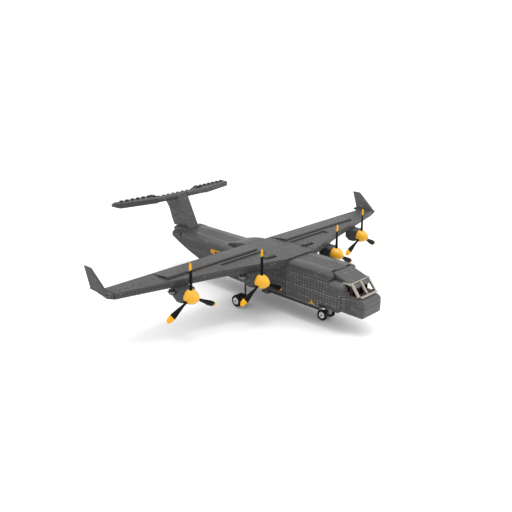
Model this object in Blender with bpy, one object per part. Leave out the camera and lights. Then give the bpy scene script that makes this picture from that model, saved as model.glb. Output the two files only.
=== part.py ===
"""Toy-brick model of a four-propeller military transport plane, in metres, +Z up.

The nose points along -Y and the starboard side lies at -X. The origin is on the floor, under the
middle of the model. Sizes below are in millimetres and are turned into metres by the mesh helpers.
GAP is left between neighbouring pieces, and BITE is how far solids of one piece reach into each other.
"""

import math

import bmesh
import bpy
from mathutils import Matrix, Vector

MM = 0.001
STUD = 8.0
PLATE = 3.2
GAP = 0.3
BITE = 1.0

# Whole model
LENGTH = 337.0
HALF_LENGTH = LENGTH / 2
HALF_SPAN = 220.5

# Fuselage levels
BELLY_Z = 20.0
BAY_Z = 27.4
ROOF_Z = 64.8
REAR_ROOF_Z = 58.5
SHOULDER_DROP = 2 * PLATE
SHOULDER_FALL = 3.4
BODY_HALF = 3 * STUD
DECK_HALF = 2 * STUD
ROOF_HALF = STUD
WALL_FRONT = STUD
WALL_REAR = PLATE
TAIL_RISE = 0.00184
RISE_Y = 5.4

# Fuselage stations, fore and aft
NOSE_Y = -HALF_LENGTH
CAP_BACK_Y = -159.5
BODY_FRONT_Y = -142.0
CHAMFER_END_Y = -150.0
COCKPIT_REAR_Y = -127.0
BAY_END_Y = -116.0
SHOULDER_END_Y = 117.0
TAIL_BLOCK_Z = 57.0
TAIL_END_Y = 133.0
SWEEP_Y = -15.4
BAY_FRONT_Y = -136.0
BLOCK_Y = -41.0
BLOCK_LENGTH = 10.0

# Nose and cockpit
NOSE_BOTTOM_Z = 22.9
NOSE_SPLIT_Z = 33.5
SILL_Z = 44.0
CAP_ROUND_Z = 37.0
CHIN_RADIUS = 1.6
COCKPIT_SHOULDER_Z = 57.0
COCKPIT_WALL_Z = 47.8
COCKPIT_ROOF_Y = -149.6
COCKPIT_ROOF_FRONT_Z = 57.0
COCKPIT_ROOF_HALF = 15.4
COCKPIT_ROOF_REAR_Z = 64.0
FRAME_SIDE_Y = -141.0
HEAD_BAR_Y = -151.1
HEAD_BAR_Z = 57.2
HEAD_BAR_WIDE = 1.2
HEAD_BAR_TALL = 1.8
BROW_TIP_Y = -154.6
BROW_TIP_Z = 54.2
BROW_THICK = 2.2
POST_X = 14.3
POST_WIDTH = 2.4
POST_THICK = 2.0
POST_HEAD = (-151.0, 56.6)
POST_FOOT = (-160.0, 45.6)

# Wing
WING_BOTTOM_Z = 59.0
WING_TOP_Z = 66.6
TIP_TOP_Z = 65.4
ROOT_LE_Y = -69.0
KINK_X = 12 * STUD
KINK_LE_Y = -45.5
TIP_X = 212.3
TIP_LE_Y = -16.2
SLOT_Y = -25.5
SLOT_END_X = 154.0
RIDGE_Z = 68.6
FLAP_BOTTOM_Z = 61.8
TE_Y = 3.0
TE_TOP_Z = 65.4
ROOT_SLOT_Y = -52.5
ROOT_SLOT_WIDTH = 3.5
ROOT_SLOT_DEPTH = 3.0
ROOT_SLOT_END_X = 5 * STUD
RIDGE_RADIUS = 1.8
PANEL_FRONT_Y = -38.6
PANEL_REAR_Y = -29.8
PANEL_DEPTH = 1.4

# Tip rail and winglet
RAIL_REAR_Y = 14.6
WINGLET_TOP_Z = 86.6

# Engines
INNER_ENGINE = (64.0, -68.0, 51.3)
OUTER_ENGINE = (144.0, -47.0, 51.3)
NACELLE_LENGTH = 16.0
NACELLE_BOTTOM_Z = 44.4
BLADE_RADIUS = 36.0
SPINNER_RADIUS = 8.3
SPINNER_LENGTH = 13.4
SHAFT_RADIUS = 1.6
SHAFT_LENGTH = 5.0
HUB_RADIUS = 3.4
HUB_ROOM = 4.0
BLADE_AHEAD = 1.8
BLADE_ANGLES = (0, 120, 240)
DISH_RADIUS = 3.6
DISH_OUT = 9.5
DISH_BEHIND = 17.0

# Tail
FIN_HALF = STUD
FIN_HEAD = 2.2
FIN_HEAD_Z = 101.6
STUD_RADIUS = 2.4
STUD_HEIGHT = 1.7
TAIL_Z = 95.4
TAIL_THICK = 2 * PLATE
TAIL_LE_Y = 137.5
TAIL_TE_Y = 157.7
TAIL_CENTRE_HALF = 5 * STUD
TAIL_TIP_X = 90.6
TAIL_TIP_LE_Y = 149.5
TAIL_HALF_SPAN = 95.6
TAIL_TIP_TE_Y = 160.8
RAISED_PLATE_X = 30.0
RAISED_PLATE_Z = 103.1
RAISED_PLATE_Y = 151.0
FIN_FOOT_END_Y = 141.2
FIN_FOOT_TOP_Z = 60.0

# Landing gear
NOSE_WHEEL_Y = -108.0
NOSE_WHEEL_RADIUS = 6.4
NOSE_WHEEL_X = 7.2
NOSE_TYRE_WIDTH = 3.0
MAIN_WHEEL_Y = -12.6
MAIN_WHEEL_RADIUS = 7.0
MAIN_LEG_X = 32.6
MAIN_WHEEL_INNER_X = 39.0
MAIN_WHEEL_OUTER_X = 46.2
MAIN_TYRE_WIDTH = 5.6
AXLE_RADIUS = 1.5
AXLE_BLOCK_HALF = 1.6
AXLE_STUB = 0.2
STRUT_RADIUS = 1.2
TYRE_SEGMENTS = 28
RIM_SHARE = 0.62

DARK_GREY = (0.118, 0.125, 0.135)
TAN = (0.62, 0.52, 0.40)
WHITE = (0.80, 0.80, 0.80)
BLACK = (0.008, 0.008, 0.009)
YELLOW = (0.95, 0.45, 0.01)


def clear_scene():
    """Removes every object that the file starts with."""
    for obj in list(bpy.data.objects):
        bpy.data.objects.remove(obj)


def make_material(name, colour, roughness, metallic=0.0):
    """Makes a plain Principled material."""
    material = bpy.data.materials.new(name)
    material.use_nodes = True
    shader = material.node_tree.nodes["Principled BSDF"]
    shader.inputs["Base Color"].default_value = (*colour, 1.0)
    shader.inputs["Roughness"].default_value = roughness
    shader.inputs["Metallic"].default_value = metallic
    return material


def add_object(name, mesh, colour, roughness=0.45):
    """Puts a mesh in the scene as a named object with its own material."""
    obj = bpy.data.objects.new(name, mesh)
    bpy.context.scene.collection.objects.link(obj)
    obj.data.materials.clear()
    obj.data.materials.append(make_material(name + "_finish", colour, roughness))
    return obj


def smooth(mesh, angle):
    """Shades a mesh smooth, but for edges sharper than an angle in degrees. None leaves it flat."""
    if angle is not None:
        mesh.shade_smooth()
        mesh.set_sharp_from_angle(angle=math.radians(angle))


def to_mesh(bm, name, smooth_angle=None):
    """Writes a bmesh to a new mesh with its faces pointing out."""
    bmesh.ops.recalc_face_normals(bm, faces=bm.faces)
    mesh = bpy.data.meshes.new(name)
    bm.to_mesh(mesh)
    bm.free()
    smooth(mesh, smooth_angle)
    return mesh


def metres(point):
    """Turns a point in millimetres into metres."""
    return Vector(point) * MM


def box(bm, low, high):
    """Adds a closed box between two corners."""
    corners = [
        bm.verts.new(metres((x, y, z)))
        for x in (low[0], high[0])
        for y in (low[1], high[1])
        for z in (low[2], high[2])
    ]
    for ids in ((0, 1, 3, 2), (4, 6, 7, 5), (0, 4, 5, 1), (2, 3, 7, 6), (0, 2, 6, 4), (1, 5, 7, 3)):
        bm.faces.new([corners[i] for i in ids])


def loft(bm, rings):
    """Joins equal rings of points, one after another, and caps the two ends."""
    rows = [[bm.verts.new(metres(point)) for point in ring] for ring in rings]
    count = len(rows[0])
    for row, following in zip(rows, rows[1:]):
        for i in range(count):
            j = (i + 1) % count
            bm.faces.new((row[i], row[j], following[j], following[i]))
    bm.faces.new(list(reversed(rows[0])))
    bm.faces.new(rows[-1])


def prism_x(bm, profile, low, high):
    """Extrudes a (y, z) outline along X."""
    loft(bm, [[(x, y, z) for y, z in profile] for x in (low, high)])


def prism_z(bm, outline, low, high):
    """Extrudes an (x, y) outline along Z."""
    loft(bm, [[(x, y, z) for x, y in outline] for z in (low, high)])


def arc(centre, radius, start, end, steps, squash=1.0):
    """Points along an arc in a plane, angles in degrees, its second axis scaled by squash."""
    points = []
    for i in range(steps + 1):
        angle = math.radians(start + (end - start) * i / steps)
        points.append((centre[0] + radius * math.cos(angle), centre[1] + radius * math.sin(angle) * squash))
    return points


def turned(bm, profile, centre, axis, segments):
    """Turns a profile of (radius, distance along the axis) pairs about an axis through centre.

    A profile that starts and ends on the axis gives a solid, and any other is closed into a ring.
    A flat of the round faces straight down, so that a wheel stands on it.
    """
    axis = Vector(axis)
    side = Vector((1, 0, 0)) if axis.z else Vector((0, 0, 1))
    up = axis.cross(side)
    poles = {index: bm.verts.new(metres(Vector(centre) + axis * along))
             for index, (radius, along) in enumerate(profile) if radius == 0.0}
    rows = []
    for k in range(segments):
        angle = 2 * math.pi * (k + 0.5) / segments
        out = side * math.cos(angle) + up * math.sin(angle)
        row = []
        for index, (radius, along) in enumerate(profile):
            row.append(poles.get(index) or bm.verts.new(metres(Vector(centre) + out * radius + axis * along)))
        rows.append(row)
    count = len(profile)
    for k in range(segments):
        row = rows[k]
        following = rows[(k + 1) % segments]
        for i in range(count - 1 if poles else count):
            j = (i + 1) % count
            corners = []
            for vert in (row[i], row[j], following[j], following[i]):
                if vert not in corners:
                    corners.append(vert)
            bm.faces.new(corners)


def disc(bm, radius, centre, axis, thickness, segments=24):
    """Adds a short solid cylinder whose first face is at centre."""
    turned(bm, [(0.0, 0.0), (radius, 0.0), (radius, thickness), (0.0, thickness)], centre, axis, segments)


def combine(base, others, operation):
    """Joins or cuts closed meshes with Boolean modifiers and keeps the result as the base's mesh."""
    for other in others:
        modifier = base.modifiers.new(operation.lower(), "BOOLEAN")
        modifier.operation = operation
        modifier.solver = "EXACT"
        modifier.object = other
        bpy.context.view_layer.update()
        depsgraph = bpy.context.evaluated_depsgraph_get()
        mesh = bpy.data.meshes.new_from_object(base.evaluated_get(depsgraph))
        base.modifiers.clear()
        base.data = mesh
        bpy.data.objects.remove(other)
    return base


def shape(maker, *values):
    """Runs a mesh helper on a fresh bmesh and returns a helper object, for joining or cutting."""
    bm = bmesh.new()
    maker(bm, *values)
    obj = bpy.data.objects.new("cutter", to_mesh(bm, "cutter"))
    obj.hide_render = True
    obj.display_type = "WIRE"
    bpy.context.scene.collection.objects.link(obj)
    return obj


def add_studs(places, base):
    """Helper objects for round studs that stand at (x, y) places on a face at height base."""
    return [shape(disc, STUD_RADIUS, (x, y, base - BITE), (0, 0, 1), STUD_HEIGHT + BITE, 20) for x,
            y in places]


def belly_height(y):
    """Height of the underside of the rear body, which sweeps up in a long curve."""
    return BELLY_Z + TAIL_RISE * max(0.0, y - RISE_Y) ** 2


def keep(helper, name, colour, smooth_angle=None):
    """Turns a helper object into a named part."""
    mesh = helper.data
    bpy.data.objects.remove(helper)
    smooth(mesh, smooth_angle)
    return add_object(name, mesh, colour)


def pivot(objects, centre):
    """Puts the objects' origins at a point on their joint's axis and leaves their faces in place."""
    offset = metres(centre)
    for obj in objects:
        obj.data.transform(Matrix.Translation(-offset))
        obj.location = offset


def build_front_shell():
    """Front body: belly floor, narrow bay slab, and side walls that chamfer towards the nose."""
    top = ROOF_Z - SHOULDER_DROP - GAP
    inner = BODY_HALF - WALL_FRONT + GAP
    slab_front = COCKPIT_REAR_Y - STUD
    floor = shape(box, (-BODY_HALF, BAY_END_Y, BELLY_Z), (BODY_HALF, SWEEP_Y, BELLY_Z + PLATE))
    keel = shape(box, (-DECK_HALF, BAY_FRONT_Y, BELLY_Z), (DECK_HALF, BAY_END_Y + BITE, BELLY_Z + PLATE))
    slab = shape(box, (-BODY_HALF + BITE, slab_front, BAY_Z),
                 (BODY_HALF - BITE, BAY_END_Y + BITE, BAY_Z + PLATE))
    core = shape(box, (-DECK_HALF, slab_front, BELLY_Z + BITE), (DECK_HALF, BAY_END_Y + STUD, BAY_Z + BITE))
    parts = [keel, slab, core]
    for side in (-1, 1):
        outline = [(inner * side, COCKPIT_REAR_Y + BITE), (BODY_HALF * side, COCKPIT_REAR_Y + BITE),
                   (BODY_HALF * side, BODY_FRONT_Y), (inner * side, CHAMFER_END_Y + GAP)]
        parts.append(shape(prism_z, outline, BAY_Z, COCKPIT_WALL_Z))
        wall_front = COCKPIT_REAR_Y + GAP
        profile = [(wall_front, BAY_Z), (BAY_END_Y, BAY_Z), (BAY_END_Y, BELLY_Z), (ROOT_LE_Y, BELLY_Z),
                   (ROOT_LE_Y, top), (wall_front, top)]
        parts.append(shape(prism_x, profile, inner * side, BODY_HALF * side))
        low, high = sorted((DECK_HALF * side, BODY_HALF * side))
        parts.append(shape(box, (low, BLOCK_Y, BELLY_Z - PLATE),
                           (high, BLOCK_Y + BLOCK_LENGTH, BELLY_Z + BITE)))
    combine(floor, parts, "UNION")
    return keep(floor, "front_shell", DARK_GREY)


def tail_block(bm, side, base):
    """Adds the low block with eased edges on the side wall's rear end."""
    inner = DECK_HALF + GAP
    ease = 1.2
    rings = []
    for y, top in ((SHOULDER_END_Y + GAP, TAIL_BLOCK_Z), (TAIL_END_Y - ease, TAIL_BLOCK_Z),
                   (TAIL_END_Y, TAIL_BLOCK_Z - ease)):
        profile = [(inner, base), (inner, top - ease), (inner + ease, top), (BODY_HALF - ease, top),
                   (BODY_HALF, top - ease), (BODY_HALF, base)]
        rings.append([(x * side, y, z) for x, z in profile])
    loft(bm, rings)


def build_rear_shell():
    """Rear body: curved underside, side walls from the wing to the tail, and a low block on each wall's end."""
    steps = 14
    front = SWEEP_Y + GAP
    stations = [front + (TAIL_END_Y - front) * i / steps for i in range(steps + 1)]
    lower = [(y, belly_height(y)) for y in stations]
    rear_top = REAR_ROOF_Z - SHOULDER_DROP - GAP
    upper = [(y, min(z + PLATE, rear_top)) for y, z in reversed(lower)]
    under = shape(prism_x, lower + upper, -BODY_HALF, BODY_HALF)
    under_wing = WING_BOTTOM_Z - GAP
    wing_edge = TE_Y + GAP
    first = ROOT_LE_Y + GAP
    floor_top = BELLY_Z + PLATE + GAP
    sides = [*lower, (TAIL_END_Y, rear_top), (wing_edge, rear_top), (wing_edge, under_wing),
             (first, under_wing),
             (first, floor_top), (front, floor_top)]
    parts = []
    for side in (-1, 1):
        parts.append(shape(prism_x, sides, (BODY_HALF - WALL_REAR) * side, BODY_HALF * side))
        parts.append(shape(tail_block, side, rear_top - BITE))
    combine(under, parts, "UNION")
    return keep(under, "rear_shell", DARK_GREY)


def build_roof_front():
    """Flat roof ahead of the wing."""
    bm = bmesh.new()
    box(bm, (-ROOF_HALF, COCKPIT_REAR_Y + GAP, ROOF_Z - SHOULDER_DROP), (ROOF_HALF, ROOT_LE_Y - GAP, ROOF_Z))
    return add_object("roof_front", to_mesh(bm, "roof_front"), DARK_GREY)


def build_roof_rear():
    """Flat roof behind the wing."""
    bm = bmesh.new()
    box(bm, (-ROOF_HALF, TE_Y + GAP, REAR_ROOF_Z - SHOULDER_DROP), (ROOF_HALF, TAIL_END_Y, REAR_ROOF_Z))
    return add_object("roof_rear", to_mesh(bm, "roof_rear"), DARK_GREY)


def cockpit_shoulder_profile():
    """Quarter-round (x, z) outline beside the cockpit's roof."""
    inner = DECK_HALF + GAP
    width = BODY_HALF - inner
    base = COCKPIT_WALL_Z + GAP
    lip = COCKPIT_SHOULDER_Z - SHOULDER_DROP + BITE
    curve = arc((inner, lip), width, 90, 0, 6, (COCKPIT_SHOULDER_Z - lip) / width)
    return [(inner, base), *curve, (BODY_HALF, base)]


def roof_shoulder_profile(top):
    """Outline (x, z) of a wide shoulder: flat beside the roof, then curving down to the side wall."""
    flat_end = 12.0
    lip = top - SHOULDER_FALL
    curve = arc((flat_end, lip), BODY_HALF - flat_end, 90, 0, 8, SHOULDER_FALL / (BODY_HALF - flat_end))
    inner = ROOF_HALF + GAP
    return [(inner, top - SHOULDER_DROP), (inner, top), *curve, (BODY_HALF, top - SHOULDER_DROP)]


def build_shoulders(name, profile, start, end, dome):
    """Rounded shoulder along each of the roof's edges, its part beyond the deck domed at the start."""
    pinned = DECK_HALF + GAP
    base = profile[0][1]
    steps = 5
    for side, word in ((-1, "starboard"), (1, "port")):
        rings = [[(x * side, end, z) for x, z in profile]]
        for i in range(steps + 1):
            angle = math.radians(80 * i / steps)
            shrink = math.cos(angle)
            y = start + dome * (1 - math.sin(angle))
            rings.append([((pinned + (x - pinned) * shrink) * side, y, base + (z - base) * shrink)
                          if x > pinned - BITE / 2 else (x * side, y, z) for x, z in profile])
        bm = bmesh.new()
        loft(bm, rings)
        add_object(name + "_" + word, to_mesh(bm, name, 40), DARK_GREY)


def build_wing_centre():
    """Wing box over the body, flush with the wing's top."""
    bm = bmesh.new()
    top = WING_TOP_Z - GAP
    profile = [(ROOT_LE_Y, WING_BOTTOM_Z), (TE_Y, WING_BOTTOM_Z), (TE_Y, TE_TOP_Z), (SLOT_Y, top),
               (ROOT_LE_Y, top)]
    prism_x(bm, profile, -BODY_HALF, BODY_HALF)
    return add_object("wing_centre_box", to_mesh(bm, "wing_centre_box"), DARK_GREY)


def build_fairing():
    """Ramp from the wing box down to the rear roof."""
    bm = bmesh.new()
    base = REAR_ROOF_Z + GAP
    height = TE_TOP_Z - base
    run = 31.0
    steps = 6
    profile = [(TE_Y + GAP, base)]
    profile += [(TE_Y + GAP + run, base), (TE_Y + GAP + run, base + 0.6)]
    for i in range(1, steps + 1):
        part = 1 - i / steps
        profile.append((TE_Y + GAP + run * part, base + 0.6 + (height - 0.6) * math.cos(part * math.pi / 2)))
    prism_x(bm, profile, -DECK_HALF, DECK_HALF)
    return add_object("wing_fairing", to_mesh(bm, "wing_fairing"), DARK_GREY)


def build_nose_section():
    """Cockpit tub: floor and two low side walls, open above."""
    rear = BAY_FRONT_Y - GAP
    tub = shape(box, (-DECK_HALF, CAP_BACK_Y + GAP, NOSE_BOTTOM_Z), (DECK_HALF, rear, SILL_Z))
    cut = shape(box, (-DECK_HALF + PLATE, CAP_BACK_Y + PLATE, NOSE_BOTTOM_Z + 2 * PLATE),
                (DECK_HALF - PLATE, rear + BITE, SILL_Z + BITE))
    combine(tub, [cut], "DIFFERENCE")
    return keep(tub, "nose_section", DARK_GREY)


def build_nose_caps():
    """Upper cap with a rounded top and lower cap with a small round chin, both eased at their ends."""
    face_y = CAP_BACK_Y - NOSE_Y
    split = NOSE_SPLIT_Z + GAP
    round_top = [(along, CAP_ROUND_Z, up) for along, up in arc((0.0, 0.0), 1.0, 0, 90, 6)]
    for name in ("nose_cap_upper", "nose_cap_lower"):
        rings = []
        for inset, reach, rise in ((0.0, 0.88, 0.66), (1.0, 0.96, 0.82), (2.6, 0.99, 0.93), (5.0, 1.0, 1.0)):
            depth = face_y * reach
            if name == "nose_cap_upper":
                height = (SILL_Z - GAP - CAP_ROUND_Z) * rise
                points = [(CAP_BACK_Y, split), (CAP_BACK_Y - depth, split)]
                points += [(CAP_BACK_Y - depth * along, low + height * up) for along, low, up in round_top]
            else:
                chin = (CAP_BACK_Y - depth + CHIN_RADIUS, NOSE_BOTTOM_Z + CHIN_RADIUS)
                points = [(CAP_BACK_Y, NOSE_BOTTOM_Z), (CAP_BACK_Y, NOSE_SPLIT_Z),
                          (CAP_BACK_Y - depth, NOSE_SPLIT_Z)]
                points += arc(chin, CHIN_RADIUS, 180, 270, 4)
            rings.append([(DECK_HALF - inset, y, z) for y, z in points])
        other_side = [[(-x, y, z) for x, y, z in ring] for ring in reversed(rings)]
        bm = bmesh.new()
        loft(bm, rings + other_side)
        add_object(name, to_mesh(bm, name, 40), DARK_GREY)


def build_cockpit_roof():
    """Sloping slab over the cockpit, with a web below each side."""
    rear = COCKPIT_REAR_Y - GAP
    top = COCKPIT_ROOF_REAR_Z
    slab = shape(prism_x, [(rear, top), (rear, top - PLATE), (COCKPIT_ROOF_Y, COCKPIT_ROOF_FRONT_Z - PLATE),
                           (COCKPIT_ROOF_Y, COCKPIT_ROOF_FRONT_Z)], -COCKPIT_ROOF_HALF, COCKPIT_ROOF_HALF)
    slope = (top - COCKPIT_ROOF_FRONT_Z) / (rear - COCKPIT_ROOF_Y)
    inside_front = top - BITE - slope * (rear - BODY_FRONT_Y)
    web = [(rear, SILL_Z + GAP), (BODY_FRONT_Y, SILL_Z + GAP), (BODY_FRONT_Y, inside_front),
           (rear, top - BITE)]
    webs = [shape(prism_x, web, (COCKPIT_ROOF_HALF - PLATE) * side, (COCKPIT_ROOF_HALF - GAP) * side)
            for side in (-1, 1)]
    combine(slab, webs, "UNION")
    return keep(slab, "cockpit_roof", DARK_GREY)


def build_brow_slab():
    """Small slab over the windshield, split at the front by the centre post, with a lip behind."""
    rear = HEAD_BAR_Y + HEAD_BAR_WIDE
    front = HEAD_BAR_Y - GAP
    lip_top = HEAD_BAR_Z - HEAD_BAR_TALL - 2 * GAP
    half = POST_X - POST_WIDTH / 2 - GAP
    slope = (HEAD_BAR_Z - 0.7 - BROW_TIP_Z) / (front - BROW_TIP_Y)
    under = BROW_TIP_Z - BROW_THICK + slope * (rear - BROW_TIP_Y) * 0.5
    profile = [(rear, under), (rear, lip_top), (front, lip_top), (front, HEAD_BAR_Z - 0.7),
               (BROW_TIP_Y, BROW_TIP_Z), (BROW_TIP_Y, BROW_TIP_Z - BROW_THICK)]
    slab = shape(prism_x, profile, -half, half)
    slot_half = POST_WIDTH / 2 + GAP
    slot = shape(box, (-slot_half, BROW_TIP_Y - BITE, BROW_TIP_Z - PLATE),
                 (slot_half, HEAD_BAR_Y + 0.2, HEAD_BAR_Z + BITE))
    combine(slab, [slot], "DIFFERENCE")
    return keep(slab, "brow_slab", DARK_GREY)


def bar_between(bm, start, end, width, thickness):
    """Adds a square bar from start to end, its width across X, or across Y for a bar along X."""
    start = Vector(start)
    end = Vector(end)
    along = (end - start).normalized()
    across = Vector((0, 1, 0)) if abs(along.x) > 0.7 else Vector((1, 0, 0))
    normal = along.cross(across).normalized()
    across = normal.cross(along).normalized()
    rings = []
    for point in (start, end):
        rings.append([point + across * a * width / 2 + normal * b * thickness / 2
                      for a, b in ((-1, -1), (1, -1), (1, 1), (-1, 1))])
    loft(bm, rings)


def build_windshield_frame():
    """Open frame of bars: a ladder on the sill, three slanting posts, a head bar and two side bars."""
    ladder_half = POST_X + POST_WIDTH / 2
    foot = SILL_Z + GAP
    front_bar = (-164.5, -162.7)
    rear_bar = (-160.9, -158.9)
    base = shape(box, (-ladder_half, rear_bar[0], foot), (ladder_half, rear_bar[1], foot + 2.1))
    parts = [shape(box, (-ladder_half + 1.7, front_bar[0], foot),
                   (ladder_half - 1.7, front_bar[1], foot + 1.4))]
    for x in (-POST_X + 1.8, 0.0, POST_X - 1.8):
        parts.append(shape(box, (x - 0.7, front_bar[1] - BITE, foot),
                           (x + 0.7, rear_bar[0] + BITE, foot + 1.2)))
    for x in (-POST_X, 0.0, POST_X):
        parts.append(shape(bar_between, (x, *POST_FOOT), (x, *POST_HEAD), POST_WIDTH, POST_THICK))
    outer = COCKPIT_ROOF_HALF + GAP + 1.4
    head_rear = HEAD_BAR_Y + HEAD_BAR_WIDE
    parts.append(shape(box, (-outer, HEAD_BAR_Y, HEAD_BAR_Z - HEAD_BAR_TALL), (outer, head_rear, HEAD_BAR_Z)))
    for side in (-1, 1):
        low, high = sorted(((COCKPIT_ROOF_HALF + GAP) * side, outer * side))
        parts.append(shape(box, (low, head_rear - BITE, HEAD_BAR_Z - 1.4), (high, FRAME_SIDE_Y, HEAD_BAR_Z)))
    combine(base, parts, "UNION")
    return keep(base, "windshield_frame", TAN)


def build_seats():
    """Two seats on one base plate in the cockpit."""
    floor = NOSE_BOTTOM_Z + 2 * PLATE + GAP
    seat_front = -149.0
    seat_rear = -139.0
    back_top = 50.0
    profile = [(seat_front, floor), (seat_rear, floor), (seat_rear, back_top), (seat_rear - 2.5, back_top),
               (seat_rear - 3.5, floor + 6.0), (seat_front, floor + 5.0)]
    base = shape(box, (-11.0, seat_front + BITE, floor), (11.0, seat_rear - BITE, floor + PLATE))
    seats = [shape(prism_x, profile, x - 4.5, x + 4.5) for x in (-6.5, 6.5)]
    combine(base, seats, "UNION")
    return keep(base, "cockpit_seats", BLACK)


def build_panel():
    """Instrument panel behind the nose caps."""
    bm = bmesh.new()
    floor = NOSE_BOTTOM_Z + 2 * PLATE + GAP
    front = CAP_BACK_Y + PLATE + GAP
    rear = front + 3.7
    profile = [(front, floor), (rear, floor), (rear, SILL_Z - 3.0), (front, SILL_Z - 0.5)]
    prism_x(bm, profile, -12.0, 12.0)
    return add_object("instrument_panel", to_mesh(bm, "instrument_panel"), BLACK)


def leading_edge(x):
    """Fore-and-aft place of the wing's leading edge at a distance from the middle."""
    if x < KINK_X:
        return ROOT_LE_Y + (KINK_LE_Y - ROOT_LE_Y) * (x - BODY_HALF) / (KINK_X - BODY_HALF)
    return KINK_LE_Y + (TIP_LE_Y - KINK_LE_Y) * (x - KINK_X) / (TIP_X - KINK_X)


def build_wing_inner(side, name):
    """Inner wing panel between the body and the kink, with the short slot at its root."""
    root = BODY_HALF + GAP
    outline = [(root, leading_edge(root)), (KINK_X, leading_edge(KINK_X)), (KINK_X, SLOT_Y), (root, SLOT_Y)]
    panel = shape(prism_z, [(x * side, y) for x, y in outline], WING_BOTTOM_Z, WING_TOP_Z)
    low, high = sorted(((root - BITE) * side, ROOT_SLOT_END_X * side))
    slot = shape(box, (low, ROOT_SLOT_Y - ROOT_SLOT_WIDTH, WING_TOP_Z - ROOT_SLOT_DEPTH),
                 (high, ROOT_SLOT_Y, WING_TOP_Z + BITE))
    low, high = sorted(((root - BITE) * side, (KINK_X - STUD) * side))
    recess = shape(box, (low, PANEL_FRONT_Y, WING_TOP_Z - PANEL_DEPTH),
                   (high, PANEL_REAR_Y, WING_TOP_Z + BITE))
    combine(panel, [slot, recess], "DIFFERENCE")
    low, high = sorted((root * side, ROOT_SLOT_END_X * side))
    ridge = shape(disc, RIDGE_RADIUS, (low, ROOT_SLOT_Y + RIDGE_RADIUS + GAP, WING_TOP_Z), (1, 0, 0),
                  high - low, 16)
    combine(panel, [ridge], "UNION")
    return keep(panel, name, DARK_GREY, 40)


def build_wing_outer(side, name):
    """Outer wing panel, full chord beyond the end of the flap slot."""
    inner = KINK_X + GAP
    end = SLOT_END_X + GAP
    rings = []
    outline = [(inner, leading_edge(inner)), (TIP_X - GAP, leading_edge(TIP_X)), (TIP_X - GAP, TE_Y),
               (end, TE_Y),
               (end, SLOT_Y), (inner, SLOT_Y)]
    for level in ("bottom", "top"):
        ring = []
        for x, y in outline:
            part = (x - inner) / (TIP_X - inner)
            if level == "top":
                z = WING_TOP_Z + (TIP_TOP_Z - WING_TOP_Z) * part
                if y == TE_Y:
                    z = TE_TOP_Z
            else:
                z = WING_BOTTOM_Z
                if y == TE_Y:
                    z = TE_TOP_Z - PLATE
            ring.append((x * side, y, z))
        rings.append(ring)
    bm = bmesh.new()
    loft(bm, rings)
    return add_object(name, to_mesh(bm, name), DARK_GREY)


def build_flap(side, name):
    """Rear panel with a round front ridge that stands above the wing."""
    bm = bmesh.new()
    front = SLOT_Y + 1.6
    ridge = arc((front + RIDGE_RADIUS, RIDGE_Z - RIDGE_RADIUS), RIDGE_RADIUS, 250, 90, 6)
    profile = [*ridge, (TE_Y, TE_TOP_Z), (TE_Y, TE_TOP_Z - PLATE + 0.6), (TE_Y - STUD, FLAP_BOTTOM_Z),
               (front + 4.0, FLAP_BOTTOM_Z)]
    prism_x(bm, profile, (BODY_HALF + GAP) * side, SLOT_END_X * side)
    return add_object(name, to_mesh(bm, name, 40), DARK_GREY)


def build_wing_tip(side, name):
    """Tip rail that carries the winglet and sticks out behind the wing."""
    bm = bmesh.new()
    rings = []
    top = TIP_TOP_Z - GAP
    for y, inner_low in ((leading_edge(TIP_X) + 0.6, WING_BOTTOM_Z), (TE_Y, TE_TOP_Z - PLATE),
                         (RAIL_REAR_Y, TIP_TOP_Z - PLATE)):
        outer_low = min(TIP_TOP_Z - 0.8, inner_low + PLATE)
        rings.append([(TIP_X * side, y, inner_low), (HALF_SPAN * side, y, outer_low),
                      (HALF_SPAN * side, y, top),
                      (TIP_X * side, y, top)])
    loft(bm, rings)
    return add_object(name, to_mesh(bm, name), DARK_GREY)


def build_winglet(side, name):
    """Upright tapered winglet."""
    bm = bmesh.new()
    rings = []
    outer = HALF_SPAN - 0.3
    for z, front, rear, thick in ((TIP_TOP_Z, TIP_LE_Y + 2.0, 13.4, 3.6), (WINGLET_TOP_Z, 10.4, 21.8, 1.6)):
        rings.append([((outer - thick) * side, front, z), (outer * side, front, z), (outer * side, rear, z),
                      ((outer - thick) * side, rear, z)])
    loft(bm, rings)
    return add_object(name, to_mesh(bm, name), DARK_GREY)


def engine_places():
    """Name and centre of each engine, from starboard to port."""
    return (
        ("outer_starboard", (-OUTER_ENGINE[0], OUTER_ENGINE[1], OUTER_ENGINE[2])),
        ("inner_starboard", (-INNER_ENGINE[0], INNER_ENGINE[1], INNER_ENGINE[2])),
        ("inner_port", INNER_ENGINE),
        ("outer_port", OUTER_ENGINE),
    )


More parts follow.
